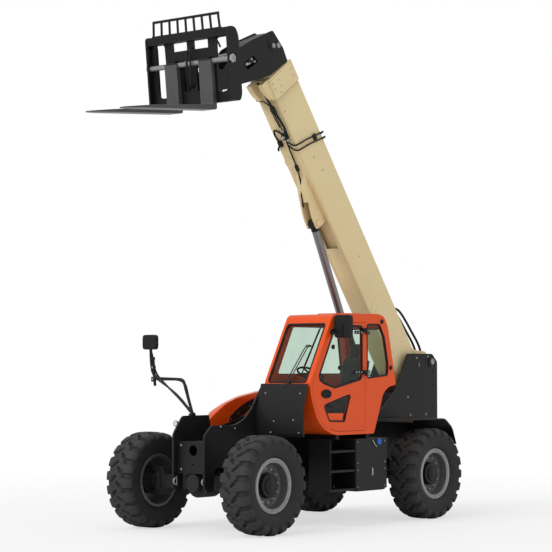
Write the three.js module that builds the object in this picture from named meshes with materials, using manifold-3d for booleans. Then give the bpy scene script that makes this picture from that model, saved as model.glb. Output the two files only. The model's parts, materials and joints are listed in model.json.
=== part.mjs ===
// Telehandler with a two-section boom, cab on the left, engine pod on the right.
// Units are millimetres. +Z is up, -Y is the way the forks point, +X is the cab side.
import * as THREE from 'three';
import * as BufferGeometryUtils from 'three/addons/utils/BufferGeometryUtils.js';
import Module from 'manifold-3d';

const wasm = await Module();
wasm.setup();

// ---------------------------------------------------------------- driving dimensions
const seatGap = 0.3;                 // between pieces that rest on each other
const pinGap = 0.5;                  // round a turning pin

const wheelBase = 3774;
const trackWidth = 2107;
const tyreRadius = 675;
const tyreWidth = 460;
const rimRadius = 356;
const rimHalfWidth = 170;
const kingpinOffset = 184;           // from the wheel's middle plane in to its kingpin

const frameHalfWidth = 300;
const framePlate = 28;
const axleFront = -wheelBase / 2;
const axleRear = wheelBase / 2;
const frameFront = axleFront - 345;
const frameBottom = 560;
const frameDeck = 1460;              // top edge of the left frame plate, ahead of the cab
const towerRear = axleRear + 1412;
const towerTop = 2475;

const cabInnerX = 330;
const cabOuterX = 1150;
const cabWall = 45;
const cabFloor = 1310;
const cabRoofSeam = 2905;
const doorGap = 6;
const doorRear = 262;
const glassThickness = 6;

const podInnerX = 330;
const podOuterX = 1150;
const podFront = -1465;
const podRear = 960;
const podBottom = 640;
const podRim = 1400;
const podWall = 22;

const boomAngle = THREE.MathUtils.degToRad(53.856);
const boomPivotY = axleRear + 1252;
const boomPivotZ = 2350;
const boomPinRadius = 60;
const boomHalfWidth = 180;
const boomTop = -141;                // heights are measured square to the boom, from its pivot
const boomBottom = -740;
const boomWall = 14;
const boomRear = -60;
const boomEnd = 5545;
const collarStart = 5190;
const innerHalfWidth = 150;
const innerTop = -190;
const innerBottom = -660;
const innerWall = 12;
const innerRear = 300;

const headCheek = 24;
const tiltPinAlong = 5897;
const tiltPinUp = -355;
const carriagePivotAlong = 6014;
const carriagePivotUp = -1602;
const carriagePitch = THREE.MathUtils.degToRad(6);

const carriageHalfWidth = 768;       // carriage sizes are forward of and above its pivot
const carriageFront = 545;
const carriageRear = 315;
const carriageBottom = -323;
const carriageTop = 688;
const carriagePlate = 30;
const shaftRadius = 38;
const shaftHeight = 250;
const backrestTop = 900;
const forkSpacing = 634;
const forkWidth = 225;
const forkThickness = 75;
const forkLength = 1755;
const forkHeel = -420;

const liftPivotY = axleRear + 295;
const liftPivotZ = 1000;
const liftAngle = THREE.MathUtils.degToRad(64.06);
const liftEyeAlong = 3200;
const liftEyeUp = -898;
const liftBarrelRadius = 100;
const liftBarrelLength = 2140;
const liftRodRadius = 60;
const liftRodLength = 2130;
const liftEyeHalf = 60;
const liftPinRadius = 45;

const tiltBarrelRadius = 72;
const tiltBarrelLength = 820;
const tiltRodRadius = 40;
const tiltRodLength = 800;
const tiltEyeHalf = 42;
const tiltPinRadius = 36;
const tiltLugReach = 330;
const tiltLugAngle = THREE.MathUtils.degToRad(5);    // from the boom's own direction

// ---------------------------------------------------------------- shape helpers
const X = new THREE.Vector3(1, 0, 0);
const Y = new THREE.Vector3(0, 1, 0);
const Z = new THREE.Vector3(0, 0, 1);

// A closed geometry as a manifold solid, with shared vertices merged.
function toSolid(geometry) {
  const bare = geometry.clone();
  bare.deleteAttribute('normal');
  bare.deleteAttribute('uv');
  const merged = BufferGeometryUtils.mergeVertices(bare, 1e-3);
  const triangles = [];
  const index = merged.index.array;
  for (let i = 0; i < index.length; i += 3) {
    const [a, b, c] = [index[i], index[i + 1], index[i + 2]];
    if (a !== b && b !== c && a !== c) triangles.push(a, b, c);
  }
  return new wasm.Manifold(new wasm.Mesh({
    numProp: 3,
    vertProperties: new Float32Array(merged.attributes.position.array),
    triVerts: new Uint32Array(triangles),
  }));
}

function join(...solids) {
  return solids.reduce((total, solid) => total.add(solid));
}

function cut(solid, ...tools) {
  return tools.reduce((total, tool) => total.subtract(tool), solid);
}

function box(x0, x1, y0, y1, z0, z1) {
  const geometry = new THREE.BoxGeometry(x1 - x0, y1 - y0, z1 - z0);
  geometry.translate((x0 + x1) / 2, (y0 + y1) / 2, (z0 + z1) / 2);
  return toSolid(geometry);
}

// A closed outline. Each point is [u, v] or [u, v, radius], and a radius rounds its corner.
function outline(points) {
  const shape = new THREE.Shape();
  const count = points.length;
  points.forEach(([u, v, radius = 0], i) => {
    const corner = new THREE.Vector2(u, v);
    const before = new THREE.Vector2(...points[(i + count - 1) % count].slice(0, 2)).sub(corner);
    const after = new THREE.Vector2(...points[(i + 1) % count].slice(0, 2)).sub(corner);
    const inset = Math.min(radius, before.length() * 0.45, after.length() * 0.45);
    const start = corner.clone().add(before.setLength(inset || 1e-9));
    const end = corner.clone().add(after.setLength(inset || 1e-9));
    if (i === 0) shape.moveTo(start.x, start.y);
    else shape.lineTo(start.x, start.y);
    if (inset > 0) shape.quadraticCurveTo(corner.x, corner.y, end.x, end.y);
  });
  shape.closePath();
  return shape;
}

// Extrudes an outline between two positions on an axis. The outline's own two coordinates are
// (y, z) for an extrusion along x, (x, z) along y and (x, y) along z.
function prism(axis, from, to, points, steps = 3) {
  const geometry = new THREE.ExtrudeGeometry(outline(points),
    { depth: to - from, bevelEnabled: false, curveSegments: steps });
  if (axis === 'x') geometry.applyMatrix4(new THREE.Matrix4().makeBasis(Y, Z, X)).translate(from, 0, 0);
  if (axis === 'y') geometry.applyMatrix4(new THREE.Matrix4().makeBasis(X, Z,
    Y.clone().negate())).translate(0, to, 0);
  if (axis === 'z') geometry.translate(0, 0, from);
  return toSolid(geometry);
}

// A round bar along an axis, between two positions, through a centre given as (y, z), (x, z) or (x, y).
function bar(axis, radius, from, to, centre, segments = 20) {
  const geometry = new THREE.CylinderGeometry(radius, radius, to - from, segments);
  const middle = (from + to) / 2;
  if (axis === 'x') geometry.rotateZ(-Math.PI / 2).translate(middle, centre[0], centre[1]);
  if (axis === 'y') geometry.translate(centre[0], middle, centre[1]);
  if (axis === 'z') geometry.rotateX(Math.PI / 2).translate(centre[0], centre[1], middle);
  return toSolid(geometry);
}

// A hole for a turning pin of the given radius, with its flats clear of the pin's corners.
function bore(axis, pinRadius, from, to, centre, segments = 20) {
  return bar(axis, (pinRadius + pinGap) / Math.cos(Math.PI / segments), from, to, centre, segments);
}

// A solid of revolution about x, from a closed profile of [radius, x] points.
function turned(profile, segments) {
  const points = [...profile, profile[0]].map(([radius, x]) => new THREE.Vector2(radius, x));
  const geometry = new THREE.LatheGeometry(points, segments);
  geometry.rotateY(Math.PI / segments);
  geometry.rotateZ(-Math.PI / 2);
  const solid = toSolid(geometry);
  return solid.volume() > 0 ? solid : toSolid(flipped(geometry));
}

function flipped(geometry) {
  const index = geometry.index.array;
  for (let i = 0; i < index.length; i += 3) [index[i], index[i + 1]] = [index[i + 1], index[i]];
  return geometry;
}

function mirrored(solid) {
  return solid.mirror([1, 0, 0]);
}

// A tube or bar that follows points on a smooth curve.
function bentBar(points, radius, sides = 10, steps = 24) {
  const section = new THREE.Shape();
  section.absarc(0, 0, radius, 0, Math.PI * 2);
  const path = new THREE.CatmullRomCurve3(points.map((p) => new THREE.Vector3(...p)), false, 'centripetal');
  return toSolid(new THREE.ExtrudeGeometry(section,
    { steps, curveSegments: sides / 2, extrudePath: path, bevelEnabled: false }));
}

// ---------------------------------------------------------------- materials
const finish = {
  frameBlack: { color: 0x222223, roughness: 0.55, metalness: 0.2 },
  bodyOrange: { color: 0xe0561c, roughness: 0.35, metalness: 0.0 },
  boomTan: { color: 0xcab98f, roughness: 0.45, metalness: 0.0 },
  chrome: { color: 0xc8c8c8, roughness: 0.15, metalness: 1.0 },
  tyreRubber: { color: 0x2e2e2f, roughness: 0.85, metalness: 0.0 },
  rimGrey: { color: 0x8c8c8c, roughness: 0.45, metalness: 0.4 },
  glass: { color: 0xb8c6bd, roughness: 0.05, metalness: 0.0, transparent: true, opacity: 0.35 },
  plasticBlack: { color: 0x1a1a1a, roughness: 0.6, metalness: 0.0 },
  forkGrey: { color: 0x4b4b4c, roughness: 0.5, metalness: 0.5 },
  castGrey: { color: 0x5d5f61, roughness: 0.7, metalness: 0.3 },
  seatBlack: { color: 0x26282a, roughness: 0.9, metalness: 0.0 },
};

const machine = new THREE.Group();

function addPart(parent, name, solid, look) {
  const data = solid.getMesh();
  const geometry = new THREE.BufferGeometry();
  geometry.setAttribute('position', new THREE.BufferAttribute(new Float32Array(data.vertProperties), 3));
  geometry.setIndex(new THREE.BufferAttribute(new Uint32Array(data.triVerts), 1));
  geometry.computeVertexNormals();
  const mesh = new THREE.Mesh(geometry, new THREE.MeshStandardMaterial(finish[look]));
  mesh.name = name;
  parent.add(mesh);
  return mesh;
}

// ---------------------------------------------------------------- axles, knuckles and wheels
const wheelCentre = trackWidth / 2;
const kingpinX = wheelCentre - kingpinOffset;
const axleHeight = tyreRadius;
const yokeHalfGap = 140;
const diffRadius = 205;
const axlePadTop = axleHeight + diffRadius + 6;
const hubFace = 20;                  // outer face of the knuckle's hub drum, from the wheel's middle
const tyreSegments = 24;

function axle() {
  const tube = (side) => prism('y', -85, 85, [[side * 60, 110], [side * 640, 90], [side * 720, 70],
    [side * 720, -70], [side * 640, -90], [side * 60, -110]]);
  const yoke = (side) => join(
    prism('y', -80, 80, [[side * 690, 72], [side * 740, 195], [side * (kingpinX + 60), 195],
      [side * (kingpinX + 60), yokeHalfGap + pinGap], [side * 765, yokeHalfGap + pinGap],
      [side * 765, -yokeHalfGap - pinGap], [side * (kingpinX + 60), -yokeHalfGap - pinGap],
      [side * (kingpinX + 60), -195], [side * 740, -195], [side * 690, -72]]),
  );
  const housing = bar('y', diffRadius, -150, 150, [0, 0], 24);
  const nose = bar('y', 120, 150, 260, [0, 0], 20);
  const tail = bar('y', 150, -215, -150, [0, 0], 20);
  const pad = box(-150, 150, -110, 110, 0, diffRadius + 6 - seatGap);
  return join(housing, nose, tail, pad, tube(1), tube(-1), yoke(1), yoke(-1));
}

function knuckle(side) {
  const reach = wheelCentre - kingpinX;
  const post = bar('z', 78, -yokeHalfGap, yokeHalfGap, [0, 0], 20);
  const neck = bar('x', 120, Math.min(0, side * (reach - 60)), Math.max(0, side * (reach - 60)), [0, 0],
    20);
  const drumFrom = side * (reach - 70);
  const drumTo = side * (reach + hubFace);
  const drum = bar('x', 195, Math.min(drumFrom, drumTo), Math.max(drumFrom, drumTo), [0, 0], 24);
  return join(post, neck, drum);
}

function tyre() {
  const half = tyreWidth / 2;
  const tread = tyreRadius / Math.cos(Math.PI / tyreSegments);
  const bead = rimRadius + seatGap;
  return turned([[bead, -rimHalfWidth], [bead + 34, -rimHalfWidth], [bead + 70, -half + 18],
    [tread * 0.78, -half], [tread * 0.93, -half + 6], [tread, -half + 38],
    [tread, half - 38], [tread * 0.93, half - 6], [tread * 0.78, half],
    [bead + 70, half - 18], [bead + 34, rimHalfWidth], [bead, rimHalfWidth]], tyreSegments);
}

// Drop-centre rim with a flange at each end, a disc and a planetary hub on its outer side.
function rim(side) {
  const barrel = turned([[rimRadius - 18, -rimHalfWidth - 14], [rimRadius + 20, -rimHalfWidth - 14],
    [rimRadius + 20, -rimHalfWidth - seatGap], [rimRadius, -rimHalfWidth - seatGap],
    [rimRadius, rimHalfWidth + seatGap], [rimRadius + 20, rimHalfWidth + seatGap],
    [rimRadius + 20, rimHalfWidth + 14], [rimRadius - 18, rimHalfWidth + 14]], tyreSegments);
  const discFrom = hubFace + pinGap;
  const disc = side > 0 ? [discFrom, discFrom + 22] : [-discFrom - 22, -discFrom];
  const hub = side > 0 ? [discFrom + 10, discFrom + 110] : [-discFrom - 110, -discFrom - 10];
  const cap = side > 0 ? [discFrom + 100, discFrom + 130] : [-discFrom - 130, -discFrom - 100];
  return join(barrel, bar('x', rimRadius - 10, ...disc, [0, 0], 24),
    bar('x', 168, ...hub, [0, 0], 24), bar('x', 110, ...cap, [0, 0], 20));
}

const corners = [
  ['front_left', 1, -1], ['front_right', -1, -1], ['rear_left', 1, 1], ['rear_right', -1, 1],
];
for (const [end, way] of [['front', -1], ['rear', 1]]) {
  const group = new THREE.Group();
  group.position.set(0, way * wheelBase / 2, axleHeight);
  machine.add(group);
  addPart(group, `${end}_axle`, way < 0 ? axle().mirror([0, 1, 0]) : axle(), 'castGrey');
}
for (const [corner, side, way] of corners) {
  const steer = new THREE.Group();
  steer.position.set(side * kingpinX, way * wheelBase / 2, axleHeight);
  machine.add(steer);
  addPart(steer, `knuckle_${corner}`, knuckle(side), 'castGrey');
  const wheel = new THREE.Group();
  wheel.position.x = side * kingpinOffset;
  steer.add(wheel);
  addPart(wheel, `rim_${corner}`, rim(side), 'rimGrey');
  addPart(wheel, `tyre_${corner}`, tyre(), 'tyreRubber');
}

// ---------------------------------------------------------------- main frame
const frameInner = frameHalfWidth - framePlate;
const mirrorSeat = 1592;             // flat top of the right frame plate
const archHalf = 150;
const archTop = axleHeight + diffRadius + 6;

// The lower edge of a side plate, from the front to the back, with an arch over each axle.
function plateUnderside() {
  const arch = (y) => [[y - archHalf, frameBottom], [y - archHalf, archTop - 60, 40],
    [y - archHalf + 60, archTop, 20], [y + archHalf - 60, archTop, 20],
    [y + archHalf, archTop - 60, 40], [y + archHalf, frameBottom]];
  return [[frameFront, frameBottom + 60, 30], [frameFront + 60, frameBottom], ...arch(axleFront),
    ...arch(axleRear), [towerRear - 420, frameBottom], [towerRear, 900, 40]];
}

const towerOutline = [[towerRear, boomPivotZ, 30], [towerRear - 137, towerTop, 30],
  [towerRear - 795, towerTop, 40], [towerRear - 929, 2224, 60], [towerRear - 1115, 1905, 60],
  [towerRear - 1449, 1640, 80]];

function leftPlate() {
  return prism('x', frameInner, frameHalfWidth, [...plateUnderside(), ...towerOutline,
    [1200, frameDeck + 20], [-700, frameDeck + 20], [-700, 1985], [-1023, 1985, 30],
    [-1132, 1837], [-1240, 1684],
    [-1390, 1548], [-1600, frameDeck, 120], [frameFront + 149, frameDeck + 10, 40],
    [frameFront, 1330, 30]]);
}

function rightPlate() {
  return prism('x', -frameHalfWidth, -frameInner, [...plateUnderside(), ...towerOutline, [1200, 1600],
    [-200, 1600, 60], [-731, 1560, 60], [-1232, 1434, 60], [-1467, 1440], [-1500, mirrorSeat, 10],
    [frameFront + 192, mirrorSeat, 40], [frameFront + 25, 1378, 40], [frameFront, 1330]]);
}

const weightSeat = 900;
const tankInner = 620;
const frontPlateY = frameFront + 114;
const shelfRear = axleFront + 237;
const rearDeckFront = towerRear - 659;
const crossTop = 1240;

function mainFrame() {
  const frontPlate = cut(box(-frameInner - 5, frameInner + 5, frontPlateY - 14, frontPlateY + 14, 805,
    crossTop),
    bar('y', 75, frontPlateY - 40, frontPlateY + 40, [0, 1120], 28),
    bar('y', 17, frontPlateY - 40, frontPlateY + 40, [0, 929], 14));
  const shelf = box(-frameInner - 5, frameInner + 5, frontPlateY, shelfRear, crossTop - 24, crossTop);
  const pad = (y) => box(-frameInner - 5, frameInner + 5, y - 130, y + 130, axlePadTop, axlePadTop + 30);
  const belly = box(-frameInner - 5, frameInner + 5, axleFront + 300, axleRear - 330, frameBottom + 20,
    frameBottom + 44);
  const rearWall = box(-frameInner - 5, frameInner + 5, towerRear - 30, towerRear - 6, weightSeat, 1560);
  const rearDeck = box(-frameInner - 5, frameInner + 5, rearDeckFront, towerRear - 6, weightSeat,
    weightSeat + 24);
  const liftLug = (x) => prism('x', x - 15, x + 15, [[liftPivotY - 90, 840], [liftPivotY - 70, 1075, 50],
    [liftPivotY + 70, 1075, 50], [liftPivotY + 250, 840], [liftPivotY + 250, 815], [liftPivotY - 90, 815]]);
  const liftSeat = box(-frameInner - 5, frameInner + 5, liftPivotY - 110, liftPivotY + 250, 806, 832);
  const liftPin = bar('x', liftPinRadius, -frameInner - 5, frameInner + 5, [liftPivotY, liftPivotZ], 20);
  const boomHole = (from, to) => bore('x', boomPinRadius, from, to, [boomPivotY, boomPivotZ], 28);
  const outrigger = (y) => box(frameHalfWidth - 5, 1090, y - 35, y + 35, cabFloor - 64, cabFloor - seatGap);
  const tankArm = (y) => box(frameHalfWidth - 5, tankInner - seatGap, y - 30, y + 30, 700, 790);
  const podArm = (y) => box(-podInnerX + seatGap, -frameHalfWidth + 5, y - 60, y + 60, 900, 1100);
  return cut(join(leftPlate(), rightPlate(), frontPlate, shelf, pad(axleFront), pad(axleRear), belly,
    rearWall,
    rearDeck, liftLug(150), liftLug(-150), liftSeat, liftPin, outrigger(-300), outrigger(400),
    tankArm(180), tankArm(620), podArm(-900), podArm(500)),
  boomHole(frameInner - 20, frameHalfWidth + 20), boomHole(-frameHalfWidth - 20, -frameInner + 20));
}
addPart(machine, 'main_frame', mainFrame(), 'frameBlack');

// ---------------------------------------------------------------- rear mudguards and counterweight
const guardTop = 1490;
const guardFront = axleRear - 457;
const guardRear = axleRear + 723;
function mudguard(side) {
  const thickness = 16;
  const top = [[guardFront, guardTop - 40], [guardFront + 50, guardTop], [guardRear - 307, guardTop, 60],
    [guardRear - 110, 1350, 60], [guardRear, 1090]];
  const under = [[guardRear - thickness, 1090], [guardRear - 110 - thickness, 1350 - thickness / 2, 60],
    [guardRear - 307 - thickness / 2, guardTop - thickness, 60], [guardFront + 50, guardTop - thickness],
    [guardFront + thickness, guardTop - 40 - thickness]];
  const sheet = prism('x', frameHalfWidth + seatGap, 1135, [...top, ...under]);
  return side > 0 ? sheet : mirrored(sheet);
}
addPart(machine, 'mudguard_rear_left', mudguard(1), 'frameBlack');
addPart(machine, 'mudguard_rear_right', mudguard(-1), 'frameBlack');

addPart(machine, 'counterweight', prism('x', -frameInner + 2, frameInner - 2,
  [[rearDeckFront, frameBottom + 60, 30], [rearDeckFront + 260, frameBottom, 30], [towerRear + 40, 640, 60],
    [towerRear + 40, weightSeat - seatGap, 20], [rearDeckFront, weightSeat - seatGap]]), 'frameBlack');

// ---------------------------------------------------------------- engine pod on the right
const hoodPinY = podRear + 22;       // the hood turns on a pin across the pod's rear end
const hoodPinZ = 1948;
const hoodPosts = [-905, -575];
const podTaper = 1.12;               // how far the front slants back for each mm outward
const taperRun = 1.5;                // a wall's thickness along y where it slants

// The pod and its hood seen from above, with the slanting front set back for the inner surface.
function podPlan(wall) {
  const inset = wall * taperRun - 10;
  const outerFront = podFront + podTaper * (podOuterX - podInnerX) + inset;
  return prism('z', podBottom - 10, hoodPinZ + 200, [[-podInnerX + 10, podFront - 10 + inset],
    [-podInnerX, podFront + inset], [-podOuterX - 10, outerFront + 10 * podTaper],
    [-podOuterX - 10, podRear + 60], [-podInnerX + 10, podRear + 60]]);
}

// A profile along x that is sheared back by the pod's slant.
function slantedPrism(points) {
  const shift = -podTaper * (podInnerX + 6);
  return prism('x', -podOuterX - 10, -podInnerX + 10, points)
    .transform([1, -podTaper, 0, 0, 0, 1, 0, 0, 0, 0, 1, 0, 0, shift, 0, 1]);
}
const podShape = [[podFront, podRim], [podFront, podRim - 28], [-1370, 1290], [-1190, 1110], [-1060, 900],
  [-1040, podBottom, 40], [podRear, podBottom, 40], [podRear, podRim]];
function enginePod() {
  const outer = prism('x', -podOuterX, -podInnerX, podShape).intersect(podPlan(0));
  const inner = prism('x', -podOuterX + podWall, -podInnerX - podWall, [[podFront + podWall, podRim + 50],
    [podFront + podWall, podRim - 10], [-1360 + podWall, 1300], [-1180 + podWall, 1118],
    [-1048 + podWall, 904], [-1030 + podWall, podBottom + podWall],
    [podRear - podWall, podBottom + podWall], [podRear - podWall, podRim + 50]]).intersect(podPlan(podWall));
  const post = (x) => prism('x', x - 20, x + 20, [[podRear - 5, 1200], [podRear + 12, 1180, 10],
    [hoodPinY + 22, 1300, 20], [hoodPinY + 22, hoodPinZ + 22, 20], [hoodPinY - 22, hoodPinZ + 22, 20],
    [podRear + 1, hoodPinZ - 60], [podRear + 1, podRim - 5], [podRear - 5, podRim - 5]]);
  const pin = bar('x', 11, hoodPosts[0], hoodPosts[1], [hoodPinY, hoodPinZ], 16);
  return join(cut(outer, inner), post(hoodPosts[0]), post(hoodPosts[1]), pin);
}
addPart(machine, 'engine_pod', enginePod(), 'frameBlack');
addPart(machine, 'engine_block', box(-1000, -480, -620, 380, podBottom + podWall + seatGap, 1340),
  'castGrey');

// ---------------------------------------------------------------- hood over the pod, hinged at its rear
const hoodGap = 4;
const hoodWall = 20;
const hoodSide = [[podFront - 5, podRim + hoodGap], [podFront + 20, 1500, 40], [-1330, 1585, 60],
  [-1176, 1680, 60], [-1003, 1775, 80], [-631, 1880, 90], [-340, 1938, 120], [48, 1992, 120],
  [620, 2016, 120],
  [podRear - 6, 1960, 60], [podRear - 6, podRim + hoodGap]];
const hoodCross = [[-podInnerX - 6, podRim + hoodGap], [-podInnerX - 6, 1830, 60], [-430, 1960, 60],
  [-640, 2030, 120], [-900, 2000, 120], [-1090, 1850, 120], [-podOuterX, 1600, 80],
  [-podOuterX, podRim + hoodGap]];
function shrunk(points, centre, amount) {
  return points.map(([u, v, r]) => {
    const du = u < centre[0] ? amount : -amount;
    const dv = v < centre[1] ? -amount * 4 : -amount;
    return [u + du, v + dv, r];
  });
}
const hoodNose = [[podFront - 10, podRim + hoodGap], [podFront + 5, 1560, 30], [-1400, 1610, 40],
  [-1137, 1725, 80], [-802, 1830, 90], [-375, 1900, 120], [48, 1960, 120], [620, 2024, 120],
  [podRear + 1500, 2040], [podRear + 1500, podRim + hoodGap]];
function hood() {
  const outer = prism('x', -podOuterX - 10, -podInnerX + 10, hoodSide)
    .intersect(prism('y', podFront - 20, podRear, hoodCross))
    .intersect(slantedPrism(hoodNose)).intersect(podPlan(0));
  const inner = prism('x', -podOuterX - 10, -podInnerX + 10, shrunk(hoodSide, [0, podRim + 60], hoodWall))
    .intersect(prism('y', podFront - 20, podRear, shrunk(hoodCross, [-740, podRim + 60], hoodWall)))
    .intersect(slantedPrism(shrunk(hoodNose, [0, podRim + 60], hoodWall * taperRun)))
    .intersect(podPlan(hoodWall));
  const knuckles = join(bar('x', 24, hoodPosts[0] + 25, hoodPosts[1] - 25, [hoodPinY, hoodPinZ], 20),
    box(hoodPosts[0] + 25, hoodPosts[1] - 25, podRear - 20, hoodPinY, hoodPinZ - 18, hoodPinZ + 18));
  return cut(join(cut(outer, inner), knuckles),
    bore('x', 11, hoodPosts[0], hoodPosts[1], [hoodPinY, hoodPinZ], 16));
}
addPart(machine, 'hood', hood(), 'bodyOrange');

// ---------------------------------------------------------------- cab
const cabFrontTop = [-500, 2970];    // the windshield lies in the plane through these two
const cabFrontLow = [-1000, 2045];
const cabRearTop = [822, 2860];      // and the rear window through these
const cabRearLow = [1019, 2010];
const cabOutline = [[...cabFrontTop, 40], [...cabFrontLow, 50], [-975, 1860, 120],
  [-855, 1565, 160], [-700, 1400, 120], [-437, cabFloor, 100], [478, cabFloor, 30],
  [551, 1492], [624, 1664], [700, 1880, 60], [830, 1980, 80], [...cabRearLow, 20],
  [...cabRearTop, 60], [740, 2995, 50], [604, 3038, 60], [-58, 3028, 60], [-440, 3010, 40]];

// The same outline moved in by an amount, towards the middle of the cab.
function inset(points, amount) {
  const flat = points.map(([u, v]) => new THREE.Vector2(u, v));
  const area = THREE.ShapeUtils.area(flat);
  return points.map(([u, v, radius], i) => {
    const here = flat[i];
    const before = here.clone().sub(flat[(i + flat.length - 1) % flat.length]).normalize();
    const after = flat[(i + 1) % flat.length].clone().sub(here).normalize();
    const turn = Math.sign(area);
    const n0 = new THREE.Vector2(-before.y, before.x).multiplyScalar(turn);
    const n1 = new THREE.Vector2(-after.y, after.x).multiplyScalar(turn);
    const n = n0.clone().add(n1).normalize();
    const reach = amount / Math.max(n.dot(n0), 0.5);
    return [u + n.x * reach, v + n.y * reach, radius];
  });
}

const doorOutline = [[doorRear, 2898, 20], [-468, 2898, 30], [-945, 2035, 60],
  [-925, 1860, 120], [-815, 1590, 160], [-670, 1440, 120], [-420, cabFloor + 55, 80], [doorRear,
    cabFloor + 55, 20]];
const doorWindow = [[197, 2850, 40], [-415, 2850, 40], [-785, 2160, 60], [-775, 2090, 40],
  [-685, 2042, 60], [-436, 1980, 60], [160, 2095, 60], [197, 2150, 40]];
const doorLowerWindow = [[-686, 1730, 40], [-60, 1885, 50], [-215, 1500, 40], [-560, 1512, 50]];
const quarterWindow = [[320, 2880, 40], [620, 2880, 60], [735, 2700, 60], [823, 2320, 60], [815, 2150, 50],
  [320, 2110, 40]];

// A window's opening or glass in a sloping wall.
// low and high lie on the wall's outer face, and depths are inward.
function slopingSlab(low, high, depthFrom, depthTo, x0, x1, z0, z1) {
  const along = new THREE.Vector2(high[0] - low[0], high[1] - low[1]).normalize();
  const inward = new THREE.Vector2(-along.y, along.x).multiplyScalar(low[0] < 0 ? -1 : 1);
  const at = (depth, z) => {
    const reach = (z - low[1] - inward.y * depth) / along.y;
    return [low[0] + along.x * reach + inward.x * depth, z];
  };
  return prism('x', x0, x1, [at(depthFrom, z0), at(depthFrom, z1), at(depthTo, z1), at(depthTo, z0)]);
}

const sideGlassDepth = 12;           // how far a window's outer face sits behind the panel's
const frontOpening = { x: [cabInnerX + 55, cabOuterX - 75], z: [2056, 2878] };
const rearOpening = { x: [cabInnerX + 80, cabOuterX - 80], z: [2110, 2830] };
const rightWindow = [[-400, 2850, 60], [-760, 2160, 60], [760, 2160, 60], [660, 2850, 60]];

function cabShell() {
  const shell = cut(prism('x', cabInnerX, cabOuterX, cabOutline),
    prism('x', cabInnerX + cabWall, cabOuterX - cabWall, inset(cabOutline, cabWall)));
  const doorway = prism('x', cabOuterX - cabWall - 20, cabOuterX + 20, inset(doorOutline, -doorGap));
  const quarter = prism('x', cabOuterX - cabWall - 20, cabOuterX + 20, quarterWindow);
  const right = prism('x', cabInnerX - 20, cabInnerX + cabWall + 20, rightWindow);
  const front = slopingSlab(cabFrontLow, cabFrontTop, -40, cabWall + 30, ...frontOpening.x,
    ...frontOpening.z);
  const rear = slopingSlab(cabRearLow, cabRearTop, -40, cabWall + 30, ...rearOpening.x, ...rearOpening.z);
  const above = box(cabInnerX - 10, cabOuterX + 10, -1200, 1200, cabRoofSeam, 3100);
  const below = box(cabInnerX - 10, cabOuterX + 10, -1200, 1200, 1000, cabRoofSeam + seatGap);
  return { frame: cut(shell, doorway, quarter, right, front, rear, above), roof: cut(shell, below) };
}

const hingeX = cabOuterX + 25;
const hingeY = doorRear + 8;
const hingeHeights = [2186, 2790];
const hingePinRadius = 9;
function cabHinge(z) {
  return join(box(hingeX - 12, hingeX + 14, hingeY - 12, hingeY + 60, z - 46, z - 24),
    box(cabOuterX - 5, hingeX, hingeY + 12, hingeY + 60, z - 46, z - 24),
    bar('z', hingePinRadius, z - 46, z + 40, [hingeX, hingeY], 16));
}
function doorHinge(z) {
  const knuckle = join(bar('z', 19, z - 20, z + 34, [hingeX, hingeY], 20),
    box(cabOuterX - 5, hingeX + 6, hingeY - 60, hingeY - 12, z - 20, z + 34),
    box(hingeX - 12, hingeX + 6, hingeY - 20, hingeY - 2, z - 20, z + 34));
  return cut(knuckle, bore('z', hingePinRadius, z - 60, z + 60, [hingeX, hingeY], 16));
}

const cab = cabShell();
addPart(machine, 'cab_frame', join(cab.frame, ...hingeHeights.map(cabHinge)), 'bodyOrange');
addPart(machine, 'cab_roof', cab.roof, 'bodyOrange');

const [glassIn, glassOut] = [sideGlassDepth + glassThickness, sideGlassDepth];
const narrowed = ([from, to]) => [from + seatGap, to - seatGap];
addPart(machine, 'windshield', slopingSlab(cabFrontLow, cabFrontTop, glassOut, glassIn,
  ...narrowed(frontOpening.x), ...narrowed(frontOpening.z)), 'glass');
addPart(machine, 'rear_window', slopingSlab(cabRearLow, cabRearTop, glassOut, glassIn,
  ...narrowed(rearOpening.x), ...narrowed(rearOpening.z)), 'glass');
addPart(machine, 'right_window', prism('x', cabInnerX + glassOut, cabInnerX + glassIn,
  inset(rightWindow, seatGap)), 'glass');
addPart(machine, 'quarter_window', prism('x', cabOuterX - glassIn, cabOuterX - glassOut,
  inset(quarterWindow, seatGap)), 'glass');

// ---------------------------------------------------------------- cab door
const door = new THREE.Group();
door.position.set(hingeX, hingeY, 0);
machine.add(door);
const doorPart = (name, solid, look) => addPart(door, name, solid.translate([-hingeX, -hingeY, 0]), look);

const doorPanel = cut(prism('x', cabOuterX - cabWall, cabOuterX, doorOutline),
  prism('x', cabOuterX - cabWall - 10, cabOuterX + 10, doorWindow),
  prism('x', cabOuterX - cabWall - 10, cabOuterX + 10, doorLowerWindow));
doorPart('cab_door', join(doorPanel, ...hingeHeights.map(doorHinge)), 'bodyOrange');
doorPart('door_window', prism('x', cabOuterX - glassIn, cabOuterX - glassOut, inset(doorWindow,
  seatGap)), 'glass');
doorPart('door_lower_window', prism('x', cabOuterX - glassIn, cabOuterX - glassOut,
  inset(doorLowerWindow, seatGap)), 'glass');

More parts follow.
